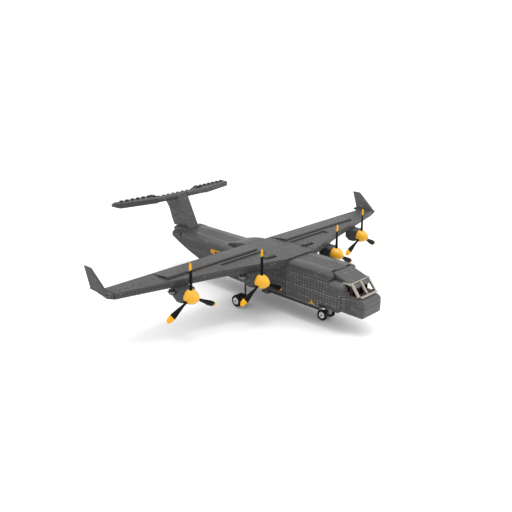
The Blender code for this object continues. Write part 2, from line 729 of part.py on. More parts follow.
def build_nacelle(name, centre):
    """Engine box under the wing with a blind bore for the propeller shaft."""
    x, y, z = centre
    front = y + 2.0
    rear = front + NACELLE_LENGTH
    top = WING_BOTTOM_Z - GAP
    profile = [(front, NACELLE_BOTTOM_Z + 1.2), (front + 4.0, NACELLE_BOTTOM_Z),
               (rear - 6.0, NACELLE_BOTTOM_Z),
               (rear, NACELLE_BOTTOM_Z + 4.0), (rear, top), (front, top)]
    body = shape(prism_x, profile, x - STUD, x + STUD)
    bore = shape(disc, SHAFT_RADIUS + GAP, (x, front - BITE, z), (0, 1, 0), SHAFT_LENGTH + 2 * BITE)
    combine(body, [bore], "DIFFERENCE")
    side = math.copysign(1, x)
    dish = shape(disc, DISH_RADIUS, (x + DISH_OUT * side, y + DISH_BEHIND, top - 2 * PLATE), (0, 0, 1), PLATE)
    stem = shape(disc, SHAFT_RADIUS, (x + DISH_OUT * side, y + DISH_BEHIND, top - 2 * PLATE + BITE),
                 (0, 0, 1),
                 2 * PLATE - BITE, 16)
    combine(body, [dish, stem], "UNION")
    return keep(body, "nacelle_" + name, DARK_GREY, 40)


def blade(bm, centre, angle):
    """Adds one blade, a thin root that widens to a twisted paddle, turned by an angle from upright."""
    turn = Matrix.Rotation(math.radians(angle), 4, "Y")
    middle = Vector(centre) - Vector((0, BLADE_AHEAD, 0))
    rings = []
    for radius, width, thick, twist in ((2.0, 2.8, 2.7, 0), (12.0, 3.0, 2.6, 12), (18.0, 4.4, 2.4, 24),
                                        (27.0, 6.8, 2.0, 27), (33.0, 6.2, 1.8, 25),
                                        (BLADE_RADIUS, 3.0, 1.2, 24)):
        pitch = Matrix.Rotation(math.radians(twist), 4, "Z")
        ring = []
        for a, b in ((-1, 0), (-0.5, -1), (0.5, -1), (1, 0), (0.5, 1), (-0.5, 1)):
            point = pitch @ Vector((a * width / 2, b * thick / 2, 0)) + Vector((0, 0, radius))
            ring.append(middle + turn @ point)
        rings.append(ring)
    loft(bm, rings)


def build_propeller(name, centre):
    """Three blades on a hub with its shaft."""
    x, y, z = centre
    hub_front = y - BLADE_AHEAD - 1.6
    hub_rear = y + 1.2
    hub = shape(disc, HUB_RADIUS, (x, hub_front, z), (0, 1, 0), hub_rear - hub_front)
    parts = [shape(disc, SHAFT_RADIUS, (x, hub_rear - BITE, z), (0, 1, 0), SHAFT_LENGTH + BITE)]
    parts += [shape(blade, centre, angle) for angle in BLADE_ANGLES]
    combine(hub, parts, "UNION")
    return keep(hub, "propeller_" + name, BLACK, 40)


def build_spinner(name, centre):
    """Rounded cone over the hub, hollow behind, with three slots that the blades pass through."""
    base = 1.4
    room_front = -BLADE_AHEAD - 2.2
    outside = [(SPINNER_RADIUS * 0.96, base), (SPINNER_RADIUS, 0.0), (SPINNER_RADIUS * 0.93, -3.4),
               (SPINNER_RADIUS * 0.72, -7.4), (SPINNER_RADIUS * 0.42, -10.6), (0.0, -SPINNER_LENGTH)]
    inside = [(0.0, room_front), (HUB_ROOM, room_front), (HUB_ROOM, base)]
    spinner = shape(turned, inside + outside, centre, (0, 1, 0), 30)
    slots = []
    for angle in BLADE_ANGLES:
        slot = shape(box, (-1.7, -BLADE_AHEAD - 1.7, HUB_ROOM - BITE),
                     (1.7, base + BITE, SPINNER_RADIUS + BITE))
        slot.data.transform(Matrix.Translation(metres(centre)) @ Matrix.Rotation(math.radians(angle), 4, "Y"))
        slots.append(slot)
    combine(spinner, slots, "DIFFERENCE")
    return keep(spinner, "spinner_" + name, YELLOW, 40)


def build_fin():
    """Swept fin whose rear edge flares back under the tailplane, with a rounded foot on each side."""
    base = REAR_ROOF_Z + GAP
    top = TAIL_Z - GAP
    front = [(117.0, base), (TAIL_LE_Y + FIN_HEAD, FIN_HEAD_Z), (TAIL_LE_Y + 2 * FIN_HEAD, FIN_HEAD_Z),
             (TAIL_LE_Y + 2 * FIN_HEAD, top)]
    rear = [(HALF_LENGTH, top), (164.3, 88.0), (158.2, 80.8), (152.4, 66.1), (148.5, base)]
    fin = shape(prism_x, front + rear, -FIN_HALF, FIN_HALF)
    foot_low = REAR_ROOF_Z - SHOULDER_DROP
    parts = []
    for side in (-1, 1):
        parts.append(shape(fin_foot, side, foot_low))
        low, high = sorted(((FIN_HALF - BITE) * side, (FIN_HALF + 2 * BITE) * side))
        parts.append(shape(box, (low, SHOULDER_END_Y + PLATE, base),
                           (high, FIN_FOOT_END_Y - STUD, base + BITE)))
    combine(fin, parts, "UNION")
    return keep(fin, "fin", DARK_GREY, 40)


def fin_foot(bm, side, low):
    """Adds the rounded block beside the fin's foot, which ends the roof's shoulder."""
    front = SHOULDER_END_Y + GAP
    rings = []
    for x, fall in ((FIN_HALF + GAP, 0.0), (12.0, 0.0), (14.4, 0.8), (15.5, 1.9), (DECK_HALF, 3.4)):
        crown = FIN_FOOT_TOP_Z - fall
        end = FIN_FOOT_END_Y - fall * 0.6
        half = (crown - 55.0) / 2
        curve = arc((end - half, crown - half), half, 90, -60, 8)
        points = [(front, low), (front, min(crown, REAR_ROOF_Z)), (front + STUD, crown), *curve,
                  (TAIL_END_Y, low)]
        rings.append([(x * side, y, z) for y, z in points])
    loft(bm, rings)


def raised_plate(bm, side):
    """Adds the sloping plate that stands on one end of the tailplane's centre section."""
    low = TAIL_Z + PLATE - BITE
    rings = []
    for x, top in ((RAISED_PLATE_X, low + 2 * BITE), (RAISED_PLATE_X + 6.0, RAISED_PLATE_Z),
                   (TAIL_CENTRE_HALF, RAISED_PLATE_Z)):
        rings.append([(x * side, y, z) for y, z in ((RAISED_PLATE_Y, low), (TAIL_TE_Y, low), (TAIL_TE_Y, top),
                                                    (RAISED_PLATE_Y, top))])
    loft(bm, rings)


def build_tailplane():
    """Straight centre section with a round front edge, and two tapered outer panels, all studded."""
    half = TAIL_THICK / 2
    top = TAIL_Z + TAIL_THICK
    front = arc((TAIL_LE_Y + half, TAIL_Z + half), half, 270, 90, 8)
    profile = [*front, (TAIL_LE_Y + STUD, top), (TAIL_LE_Y + STUD, TAIL_Z + PLATE),
               (TAIL_TE_Y, TAIL_Z + PLATE), (TAIL_TE_Y, TAIL_Z)]
    centre = shape(prism_x, profile, -TAIL_CENTRE_HALF, TAIL_CENTRE_HALF)
    across = [(i + 0.5) * STUD for i in range(-5, 5)]
    parts = add_studs([(x, TAIL_TE_Y - STUD / 2) for x in across], TAIL_Z + PLATE)
    parts += [shape(raised_plate, side) for side in (-1, 1)]
    combine(centre, parts, "UNION")
    notch = shape(box, (-FIN_HALF - GAP, TAIL_LE_Y - BITE, TAIL_Z - BITE),
                  (FIN_HALF + GAP, TAIL_LE_Y + 2 * FIN_HEAD + GAP, top + BITE))
    combine(centre, [notch], "DIFFERENCE")
    keep(centre, "tailplane_centre", DARK_GREY, 40)
    inner = TAIL_CENTRE_HALF + GAP
    ease = 1.6
    outline = ((inner, TAIL_LE_Y + 0.4, TAIL_TE_Y, 0.0), (TAIL_TIP_X, TAIL_TIP_LE_Y, TAIL_TIP_TE_Y - 0.2,
                                                          0.0),
               (TAIL_HALF_SPAN, TAIL_TIP_TE_Y - ease, TAIL_TIP_TE_Y, ease))
    slant = (TAIL_TIP_TE_Y - TAIL_TE_Y) / (TAIL_HALF_SPAN - inner)
    places = [(TAIL_CENTRE_HALF + (i + 0.5) * STUD, TAIL_TE_Y + slant * i * STUD - STUD / 2) for i in range(6)]
    for side, name in ((-1, "tailplane_starboard"), (1, "tailplane_port")):
        rings = [[(x * side, le, TAIL_Z + inset), (x * side, te, TAIL_Z + inset), (x * side, te, top - inset),
                  (x * side, le, top - inset)] for x, le, te, inset in outline]
        panel = shape(loft, rings)
        combine(panel, add_studs([(x * side, y) for x, y in places], top), "UNION")
        keep(panel, name, DARK_GREY, 40)


def build_leg(name, x, y, top, axle_z, width, length):
    """Gear leg: a foot plate, a slim strut and an axle block with its bore."""
    half_x = AXLE_BLOCK_HALF
    half = 3.0
    foot = shape(box, (x - width / 2, y - length / 2, top - PLATE), (x + width / 2, y + length / 2, top))
    strut = shape(disc, STRUT_RADIUS, (x, y, axle_z + half - BITE), (0, 0, 1), top - axle_z - half, 16)
    block = shape(box, (x - half_x, y - half, axle_z - half), (x + half_x, y + half, axle_z + half))
    combine(foot, [strut, block], "UNION")
    bore = shape(disc, AXLE_RADIUS + GAP, (x - half_x - BITE, y, axle_z), (1, 0, 0), 2 * (half_x + BITE))
    combine(foot, [bore], "DIFFERENCE")
    return keep(foot, name, DARK_GREY)


def tyre_profile(outer, inner, width):
    """Closed (radius, along) outline of a tyre with rounded shoulders."""
    half = width / 2
    bevel = width * 0.22
    return [(inner, -half + bevel * 0.5), (outer - bevel, -half), (outer, -half + bevel),
            (outer, half - bevel),
            (outer - bevel, half), (inner, half - bevel * 0.5)]


def build_wheels(name, tyres, radius, width, y, axle_span):
    """Rims on one axle, and a tyre on each. tyres maps a word to the middle of its tyre along X."""
    rim_radius = radius * RIM_SHARE
    half_rim = (width - 0.8) / 2
    low, high = sorted(axle_span)
    profile = [(0.0, low), (AXLE_RADIUS, low)]
    for x in sorted(tyres.values()):
        profile += [(AXLE_RADIUS, x - half_rim), (rim_radius - GAP, x - half_rim),
                    (rim_radius - GAP, x + half_rim),
                    (AXLE_RADIUS, x + half_rim)]
    profile += [(AXLE_RADIUS, high), (0.0, high)]
    bm = bmesh.new()
    turned(bm, profile, (0.0, y, radius), (1, 0, 0), TYRE_SEGMENTS)
    made = [add_object(name + "_rims", to_mesh(bm, name + "_rims", 40), WHITE)]
    outer = radius / math.cos(math.pi / TYRE_SEGMENTS)
    for word, x in tyres.items():
        bm = bmesh.new()
        turned(bm, tyre_profile(outer, rim_radius, width), (x, y, radius), (1, 0, 0), TYRE_SEGMENTS)
        tyre = name + "_tyre_" + word
        made.append(add_object(tyre, to_mesh(bm, tyre, 40), BLACK, 0.8))
    pivot(made, ((low + high) / 2, y, radius))


def build_gear():
    """Nose leg and twin nose wheels, main legs and twin main wheels on each side."""
    nose_end = NOSE_WHEEL_X + NOSE_TYRE_WIDTH / 2 + AXLE_STUB
    build_leg("nose_gear_leg", 0.0, NOSE_WHEEL_Y, BELLY_Z - GAP, NOSE_WHEEL_RADIUS, 14.0, 14.0)
    build_wheels("nose_wheels", {"starboard": -NOSE_WHEEL_X, "port": NOSE_WHEEL_X}, NOSE_WHEEL_RADIUS,
                 NOSE_TYRE_WIDTH, NOSE_WHEEL_Y, (-nose_end, nose_end))
    for side, word in ((-1, "starboard"), (1, "port")):
        build_leg("main_gear_leg_" + word, MAIN_LEG_X * side, MAIN_WHEEL_Y, FLAP_BOTTOM_Z - GAP,
                  MAIN_WHEEL_RADIUS,
                  8.0, 11.0)
        build_wheels("main_wheels_" + word, {"inner": MAIN_WHEEL_INNER_X * side,
                                             "outer": MAIN_WHEEL_OUTER_X * side},
                     MAIN_WHEEL_RADIUS, MAIN_TYRE_WIDTH, MAIN_WHEEL_Y,
                     ((MAIN_LEG_X - AXLE_BLOCK_HALF - BITE) * side,
                      (MAIN_WHEEL_OUTER_X + MAIN_TYRE_WIDTH / 2 + AXLE_STUB) * side))


def main():
    """Builds the whole model."""
    clear_scene()
    build_front_shell()
    build_rear_shell()
    build_roof_front()
    build_roof_rear()
    build_shoulders("shoulders_front", roof_shoulder_profile(ROOF_Z), COCKPIT_REAR_Y, ROOT_LE_Y - GAP, 7.0)
    build_shoulders("cockpit_shoulders", cockpit_shoulder_profile(), BODY_FRONT_Y, COCKPIT_REAR_Y - GAP, 7.0)
    build_shoulders("shoulders_rear", roof_shoulder_profile(REAR_ROOF_Z), SHOULDER_END_Y, TE_Y + GAP, -3.0)
    build_wing_centre()
    build_fairing()
    build_nose_section()
    build_nose_caps()
    build_cockpit_roof()
    build_brow_slab()
    build_windshield_frame()
    build_seats()
    build_panel()
    for side, word in ((-1, "starboard"), (1, "port")):
        build_wing_inner(side, "wing_inner_" + word)
        build_wing_outer(side, "wing_outer_" + word)
        build_flap(side, "flap_" + word)
        build_wing_tip(side, "wing_tip_" + word)
        build_winglet(side, "winglet_" + word)
    for name, centre in engine_places():
        build_nacelle(name, centre)
        propeller = build_propeller(name, centre)
        spinner = build_spinner(name, centre)
        pivot([propeller, spinner], centre)
    build_fin()
    build_tailplane()
    build_gear()


main()
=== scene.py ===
"""Looks for a toy-brick model of a four-propeller military transport plane.

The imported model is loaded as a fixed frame. Each sub-assembly class dresses its own CAD nodes and adds
the small trim that belongs to it. Sizes are in millimetres, and become metres where a mesh is made.
"""

import logging
import math
from dataclasses import dataclass, replace
from enum import Enum
from typing import Any, Callable, Mapping, Sequence, Union

import bmesh
import bpy
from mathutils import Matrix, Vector


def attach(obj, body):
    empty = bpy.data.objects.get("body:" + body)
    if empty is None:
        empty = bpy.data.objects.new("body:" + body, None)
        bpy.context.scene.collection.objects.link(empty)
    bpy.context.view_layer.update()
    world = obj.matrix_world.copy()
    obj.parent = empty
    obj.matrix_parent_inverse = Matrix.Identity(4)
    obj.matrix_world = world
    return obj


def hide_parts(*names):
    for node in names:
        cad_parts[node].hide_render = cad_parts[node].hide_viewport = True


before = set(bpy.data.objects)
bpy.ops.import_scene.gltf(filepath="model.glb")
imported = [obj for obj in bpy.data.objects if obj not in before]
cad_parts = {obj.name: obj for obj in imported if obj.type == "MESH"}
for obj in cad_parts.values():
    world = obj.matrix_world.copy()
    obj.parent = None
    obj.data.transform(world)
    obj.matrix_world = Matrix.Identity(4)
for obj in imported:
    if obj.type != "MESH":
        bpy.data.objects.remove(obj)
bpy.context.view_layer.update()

LOG = logging.getLogger("scene")

MM = 0.001
STUD = 8.0
PLATE = 3.2
BELLY_Z = 20.0
SIDE_SEED, TOP_SEED, FRONT_SEED = 1.0, 2.0, 3.0
GLINT_SEED, TONE_SEED = 3.0, 7.0
UP = (0.0, 0.0, 1.0)
REARWARD = (0.0, 1.0, 0.0)

Colour = tuple[float, float, float, float]
Key = Union[int, str]
Pair = tuple[float, float]
Point = tuple[float, float, float]
Parts = tuple["Signal", "Signal", "Signal"]
Value = Union["Signal", float, Sequence[float]]
BMesh = bmesh.types.BMesh
Material = bpy.types.Material

SIDES = ((-1, "starboard"), (1, "port"))
ENGINES = {
    "outer_starboard": (-144.0, -47.0, 51.3),
    "inner_starboard": (-64.0, -68.0, 51.3),
    "inner_port": (64.0, -68.0, 51.3),
    "outer_port": (144.0, -47.0, 51.3),
}


def tint(red: float, green: float, blue: float) -> Colour:
    """Linear colour with full alpha, as a colour socket takes it."""
    return (red, green, blue, 1.0)


def grey(level: float) -> Colour:
    """Colour with one linear level in all three shares."""
    return tint(level, level, level)


class Run(Enum):
    """Way in which the bricks of a top face lie."""

    ALONG = "fore and aft"
    ACROSS = "side to side"


class Slot(Enum):
    """Material slots of the record."""

    GREY = "dark_grey_plastic"
    BLACK = "black_plastic"
    WHITE = "white_plastic"
    TAN = "tan_plastic"
    RUBBER = "black_rubber"


def operator(operation: str, reflected: bool = False) -> Callable[..., "Signal"]:
    """Makes a method of Signal that adds one Math node.

    Args:
        operation: the node's operation.
        reflected: whether the method's own signal comes second.

    Returns:
        The method.
    """
    def method(self: "Signal", other: Value = 0.0) -> "Signal":
        """Adds the node."""
        first, second = (other, self) if reflected else (self, other)
        return self.graph.node("ShaderNodeMath", {"operation": operation}, {0: first, 1: second})

    return method


class Signal:
    """A shader socket that takes part in sums.

    Comparisons give 1 or 0, the bar gives the larger of two masks, and the ampersand the smaller one.
    """

    def __init__(self, graph: "Graph", socket: bpy.types.NodeSocket) -> None:
        """Keeps the socket and the graph that it belongs to."""
        self.graph = graph
        self.socket = socket

    __add__ = __radd__ = operator("ADD")
    __sub__ = operator("SUBTRACT")
    __rsub__ = operator("SUBTRACT", reflected=True)
    __mul__ = __rmul__ = operator("MULTIPLY")
    __truediv__ = operator("DIVIDE")
    __pow__ = operator("POWER")
    __mod__ = operator("FLOORED_MODULO")
    __gt__ = operator("GREATER_THAN")
    __lt__ = operator("LESS_THAN")
    __or__ = operator("MAXIMUM")
    __and__ = operator("MINIMUM")
    __abs__ = operator("ABSOLUTE")
    floor = operator("FLOOR")
    rounded = operator("ROUND")

    def reach(self, other: "Signal") -> "Signal":
        """Length of the vector that has these two parts."""
        return (self * self + other * other) ** 0.5

    def fade(self, low: float, high: float) -> "Signal":
        """Smooth rise from 0 at low to 1 at high, or a fall where high is below low."""
        return self.graph.node("ShaderNodeMapRange", {"interpolation_type": "SMOOTHSTEP"},
                               {"Value": self, "From Min": low, "From Max": high})

    def seam(self, period: float, offset: float = 0.0) -> "Signal":
        """Distance to the nearest of a row of lines, one per period and one of them at offset."""
        return period / 2 - abs((self - offset) % period - period / 2)


class Graph:
    """The node tree of one material."""

    def __init__(self, name: str) -> None:
        """Makes a material with a Principled shader.

        Args:
            name: the material's name.
        """
        self.material = bpy.data.materials.new(name)
        self.material.use_nodes = True
        self.tree = self.material.node_tree
        self.shader = self.tree.nodes["Principled BSDF"]
        self.spot = self.shade(self.node("ShaderNodeTexCoord", output="Object"), 1.0 / MM)

    def feed(self, socket: bpy.types.NodeSocket, value: Value) -> None:
        """Links or sets one socket.

        Args:
            socket: the socket.
            value: a signal, which is linked, or a number or vector, which is set.
        """
        if isinstance(value, Signal):
            self.tree.links.new(value.socket, socket)
        elif isinstance(value, (int, float)):
            socket.default_value = value
        else:
            socket.default_value = tuple(value)[:len(socket.default_value)]

    def node(self, kind: str, settings: Mapping[str, Any] | None = None,
             inputs: Mapping[Key, Value] | None = None, output: Key = 0) -> Signal:
        """Adds any node.

        Args:
            kind: the node's type.
            settings: its properties, set first.
            inputs: values or links of its sockets, by index or name.
            output: which of its outputs is wanted.

        Returns:
            The wanted output.
        """
        made = self.tree.nodes.new(kind)
        for key, value in (settings or {}).items():
            setattr(made, key, value)
        for key, value in (inputs or {}).items():
            self.feed(made.inputs[key], value)
        return Signal(self, made.outputs[output])

    def mix(self, mask: Value, first: Value, second: Value) -> Signal:
        """Colour that goes from first to second with the mask."""
        return self.node("ShaderNodeMix", {"data_type": "RGBA"}, {0: mask, 6: first, 7: second}, 2)

    def shade(self, colour: Value, factor: Value) -> Signal:
        """Colour times a number."""
        return self.node("ShaderNodeVectorMath", {"operation": "SCALE"}, {0: colour, "Scale": factor})

    def split(self, vector: Signal) -> Parts:
        """The three parts of a vector."""
        outputs = self.node("ShaderNodeSeparateXYZ", None, {0: vector}).socket.node.outputs
        return Signal(self, outputs[0]), Signal(self, outputs[1]), Signal(self, outputs[2])

    def place(self) -> Parts:
        """Place on the model, in millimetres."""
        return self.split(self.spot)

    def facing(self) -> Parts:
        """Direction that the surface faces, in the object's own axes."""
        return self.split(self.node("ShaderNodeTexCoord", output="Normal"))

    def grain(self, scale: float, detail: float = 2.0) -> Signal:
        """Soft noise from 0 to 1, with scale in features per millimetre and detail in finer layers."""
        return self.node("ShaderNodeTexNoise", None, {"Vector": self.spot, "Scale": scale, "Detail": detail})

    def chance(self, first: Value, second: Value, third: Value) -> Signal:
        """A fixed random number from 0 to 1 for each set of three whole numbers."""
        spot = self.node("ShaderNodeCombineXYZ", None, {0: first, 1: second, 2: third})
        return self.node("ShaderNodeTexWhiteNoise", {"noise_dimensions": "3D"}, {"Vector": spot})

    def finish(self, colour: Value, roughness: Value, height: Signal | None = None, depth: float = 0.0002,
               **constants: float) -> Material:
        """Feeds the shader.

        Args:
            colour: base colour.
            roughness: how matt the surface is.
            height: relief from 0 to 1.
            depth: what a height of 1 stands for, in metres.
            constants: other sockets of the shader, with plain numbers, spaces written as underscores.

        Returns:
            The material.
        """
        for key, value in {"Base Color": colour, "Roughness": roughness, **constants}.items():
            self.feed(self.shader.inputs[key.replace("_", " ")], value)
        if height is not None:
            bump = self.node("ShaderNodeBump", None, {"Strength": 1.0, "Distance": depth, "Height": height})
            self.feed(self.shader.inputs["Normal"], bump)
        return self.material


@dataclass(frozen=True)
class DotRow:
    """A row of small oval recesses between the pieces of a top face, alike on both sides."""

    y: float
    first_x: float
    last_x: float
    pitch: float = STUD
    half_x: float = 1.5
    half_y: float = 0.8
    edge: Pair = (1.2, 0.5)

    def mask(self, x: Signal, y: Signal) -> Signal:
        """1 inside the recesses.

        Args:
            x: distance from the middle plane.
            y: place fore and aft.

        Returns:
            The mask.
        """
        across = x.seam(self.pitch, self.pitch / 2) / self.half_x
        along = (y - self.y) / self.half_y
        inside = (across * across + along * along).fade(*self.edge)
        return inside * (x > self.first_x) * (x < self.last_x)


@dataclass(frozen=True)
class Patch:
    """A coloured patch on the side walls: a convex outline of (y, z) points, anticlockwise with y to the right."""

    corners: tuple[Pair, ...]
    colour: Colour = tint(0.44, 0.21, 0.0)
    blur: float = 0.08

    def mask(self, y: Signal, z: Signal) -> Signal:
        """1 inside the outline.

        Args:
            y: place fore and aft.
            z: height.

        Returns:
            The mask.
        """
        inside: Signal | None = None
        for (y0, z0), (y1, z1) in zip(self.corners, self.corners[1:] + self.corners[:1]):
            length = math.hypot(y1 - y0, z1 - z0)
            distance = (z - z0) * ((y1 - y0) / length) - (y - y0) * ((z1 - z0) / length)
            edge = distance.fade(-self.blur, self.blur)
            inside = edge if inside is None else inside & edge
        assert inside is not None
        return inside

    @staticmethod
    def bar(front: float, rear: float, low: float, high: float, colour: Colour) -> "Patch":
        """Upright rectangle from front to rear and from low to high."""
        return Patch(((front, low), (rear, low), (rear, high), (front, high)), colour)


@dataclass(frozen=True)
class Relief:
    """What one kind of face shows: its gaps, its painted highlights along brick edges and the tone of its bricks.
    """

    gap: Signal
    glint: Signal
    tone: Signal

    def blend(self, other: "Relief", mask: Signal) -> "Relief":
        """This relief, with another one where the mask is 1."""
        keep = 1.0 - mask
        return Relief(self.gap * keep + other.gap * mask, self.glint * keep + other.glint * mask,
                      self.tone * keep + other.tone * mask)


@dataclass(frozen=True)
class Courses:
    """Rows of bricks: their length and height, how much of the gaps and notches shows, and the painted highlights
    (glints) along the brick edges.
    """

    length: float = STUD
    height: float = PLATE
    base: float = BELLY_Z
    stagger: float = STUD / 2
    ends_kept: float = 0.45
    ends_dark: float = 0.4
    row_gap: float = 0.5
    gap_half: float = 0.11
    notch: float = 0.72
    notch_dark: float = 1.0
    notch_edge: Pair = (1.2, 0.4)
    glint_rows: tuple[float, ...] = ()
    glint_reach: float = 0.6
    glint_share: float = 0.12
    glint_row_share: float = 0.75
    glint_length: float = STUD / 2
    glint_low: Pair = (0.05, 0.25)
    glint_high: Pair = (1.35, 1.1)
    tone_bricks: float = 4.0
    tone_spread: float = 0.06

    def relief(self, graph: Graph, along: Signal, rows: Signal, seed: float) -> Relief:
        """Works out the gaps, the notches where bricks meet, the painted edge highlights and the tone.

        Args:
            graph: the material's nodes.
            along: place along the rows.
            rows: place across the rows.
            seed: tells this face from others.

        Returns:
            The relief.
        """
        row = ((rows - self.base) / self.height).floor()
        shifted = along - (row % 2.0) * self.stagger
        kept = graph.chance((shifted / self.length).rounded(), row, seed) < self.ends_kept
        from_row = rows.seam(self.height, self.base)
        edge = (2 * self.gap_half, self.gap_half / 2)
        row_gap = from_row.fade(*edge) * self.row_gap
        end_gap = shifted.seam(self.length).fade(*edge) * kept * self.ends_dark
        corner = along.seam(self.length / 2) / self.notch
        level = from_row / self.notch
        notch = (corner * corner + level * level).fade(*self.notch_edge) * self.notch_dark
        dash = graph.chance((along / self.glint_length).floor(), row, seed + GLINT_SEED)
        share = dash < self.glint_share
        for middle in self.glint_rows:
            near = abs(rows - middle) < self.height * self.glint_reach
            share = share | (near * (dash < self.glint_row_share))
        # Glint: painted highlight in a band just above each row's seam, on random dashes and on the rows near
        # glint_rows.
        phase = (rows - self.base) % self.height
        glint = phase.fade(*self.glint_low) * phase.fade(*self.glint_high) * share
        cell = (shifted / (self.tone_bricks * self.length)).floor()
        tone = 1.0 + (graph.chance(cell, row, seed + TONE_SEED) - 0.5) * self.tone_spread
        return Relief(row_gap | end_gap | notch, glint, tone)


@dataclass(frozen=True)
class Tubes:
    """Hollow underside of the lowest plates: round tubes between the studs, with painted shade in the room round
    them and a painted highlight on the tube rims.
    """

    pitch: float = STUD
    radius: float = 2.8
    wall: float = 0.5
    dark: float = 1.5
    shine: float = 0.2

    def relief(self, graph: Graph, x: Signal, y: Signal) -> Relief:
        """Works out the tubes, with painted shade between them and a painted highlight on their rims.

        Args:
            graph: the material's nodes.
            x, y: place from side to side, and fore and aft.

        Returns:
            The relief.
        """
        distance = x.seam(self.pitch).reach(y.seam(self.pitch))
        ring = abs(distance - self.radius).fade(self.wall + 0.15, self.wall - 0.1)
        # The room round the tubes is painted shade; the rings are a painted highlight.
        return Relief((1.0 - ring) * self.dark, ring * self.shine, 1.0 - graph.grain(0.1) * 0.1)


TOP_ROWS = Courses(height=STUD, base=0.0, notch_dark=0.35, row_gap=0.3, ends_kept=0.3)
SMOOTH_TOP_ROWS = Courses(height=STUD, base=0.0, notch_dark=0.2, row_gap=0.1, ends_kept=0.1)


@dataclass(frozen=True)
class BrickPlastic:
    """Moulded plastic bricks with the fine gaps between them, worked out from the place on the model."""

    colour: Colour = grey(0.042)
    roughness: float = 0.40
    sides: Courses = Courses()
    tops: Courses = TOP_ROWS
    fronts: Courses = Courses()
    under: Tubes = Tubes()
    top_run: Run = Run.ALONG
    gap_dark: float = 0.6
    dot_dark: float = 1.5
    glint_bright: float = 1.2
    dots: tuple[DotRow, ...] = ()
    patches: tuple[Patch, ...] = ()
    specular: float = 0.32
    sheen: float = 0.0
    steep: float = 0.6
    speck_scale: float = 2.2
    cloud_scale: float = 0.06
    depth: float = 0.00018

    def material(self, name: str) -> Material:
        """Makes the material.

        Args:
            name: the material's name.

        Returns:
            The material.
        """
        graph = Graph(name)
        x, y, z = graph.place()
        nx, _, nz = graph.facing()
        side = abs(nx) > self.steep
        top = nz > self.steep
        along, rows = (y, x) if self.top_run is Run.ALONG else (x, y)
        relief = self.fronts.relief(graph, x, z, FRONT_SEED)
        relief = relief.blend(self.sides.relief(graph, y, z, SIDE_SEED), side)
        relief = relief.blend(self.tops.relief(graph, along, rows, TOP_SEED), top)
        # Faces that point down get the tubes, and with them painted shade.
        relief = relief.blend(self.under.relief(graph, x, y), nz < -self.steep)
        gap = relief.gap
        for row in self.dots:
            gap = gap | row.mask(abs(x), y) * top * self.dot_dark
        speck = graph.grain(self.speck_scale, 3.0)
        cloud = graph.grain(self.cloud_scale, 3.0)
        # Glints lighten the tone as painted highlights; gaps darken it.
        tone = relief.tone * (1.0 - gap * self.gap_dark) * (1.0 + relief.glint * self.glint_bright)
        tone = tone * (0.93 + speck * 0.06 + cloud * 0.08)
        # Sheen: painted highlight on surfaces that slope upward, between the walls and the flat tops.
        if self.sheen:
            tone = tone * (1.0 + nz.fade(0.05, 0.5) * nz.fade(1.02, 0.9) * self.sheen)
        colour: Value = self.colour
        for patch in self.patches:
            colour = graph.mix(patch.mask(y, z) * side, colour, patch.colour)
        height = (1.0 - gap) + speck * 0.03
        rough = self.roughness + speck * 0.06 + cloud * 0.06 + gap * 0.2
        return graph.finish(graph.shade(colour, tone), rough, height, self.depth,
                            Specular_IOR_Level=self.specular)


@dataclass(frozen=True)
class BladePlastic:
    """Black blades with coloured tips, worked out from the distance to the propeller's axis.

    The blade that points down to port at rest has a shorter tip.
    """

    tip_radius: float = 29.0
    short_tip: float = 4.5
    short_from: float = 8.0
    blur: float = 0.15
    colour: Colour = tint(0.002, 0.002, 0.003)
    tip_colour: Colour = tint(0.66, 0.32, 0.006)

    def material(self, name: str, centre: Point) -> Material:
        """Makes the material of one propeller.

        Args:
            name: the material's name.
            centre: place of the propeller.

        Returns:
            The material.
        """
        graph = Graph(name)
        x, _, z = graph.place()
        away_x = x - centre[0]
        away_z = z - centre[2]
        short = (away_x > self.short_from) * (away_z < 0.0) * self.short_tip
        beyond = away_x.reach(away_z) - short - self.tip_radius
        edge = abs(beyond).fade(0.5, 0.1)
        speck = graph.grain(1.6, 4.0)
        colour = graph.mix(beyond.fade(-self.blur, self.blur), self.colour, self.tip_colour)
        height = speck * 0.15 - edge * 0.8 + 1.0
        return graph.finish(graph.shade(colour, 0.9 + speck * 0.2), 0.42 + speck * 0.12, height, 0.00012,
                            Specular_IOR_Level=0.1)


@dataclass(frozen=True)
class GlossPlastic:
    """Bright smooth plastic of a small piece, with a mould line and faint flow marks."""

    colour: Colour
    roughness: float = 0.22
    groove_y: float = 0.0

    def material(self, name: str) -> Material:
        """Makes the material.

        Args:
            name: the material's name.

        Returns:
            The material.
        """
        graph = Graph(name)
        y = graph.place()[1]
        flow = graph.grain(0.5, 3.0)
        speck = graph.grain(3.0, 2.0)
        line = abs(y - self.groove_y).fade(0.25, 0.08)
        colour = graph.shade(self.colour, (0.93 + flow * 0.14) * (1.0 - line * 0.35))
        return graph.finish(colour, self.roughness + speck * 0.1, speck * 0.06 - line + 1.0, 0.0001)


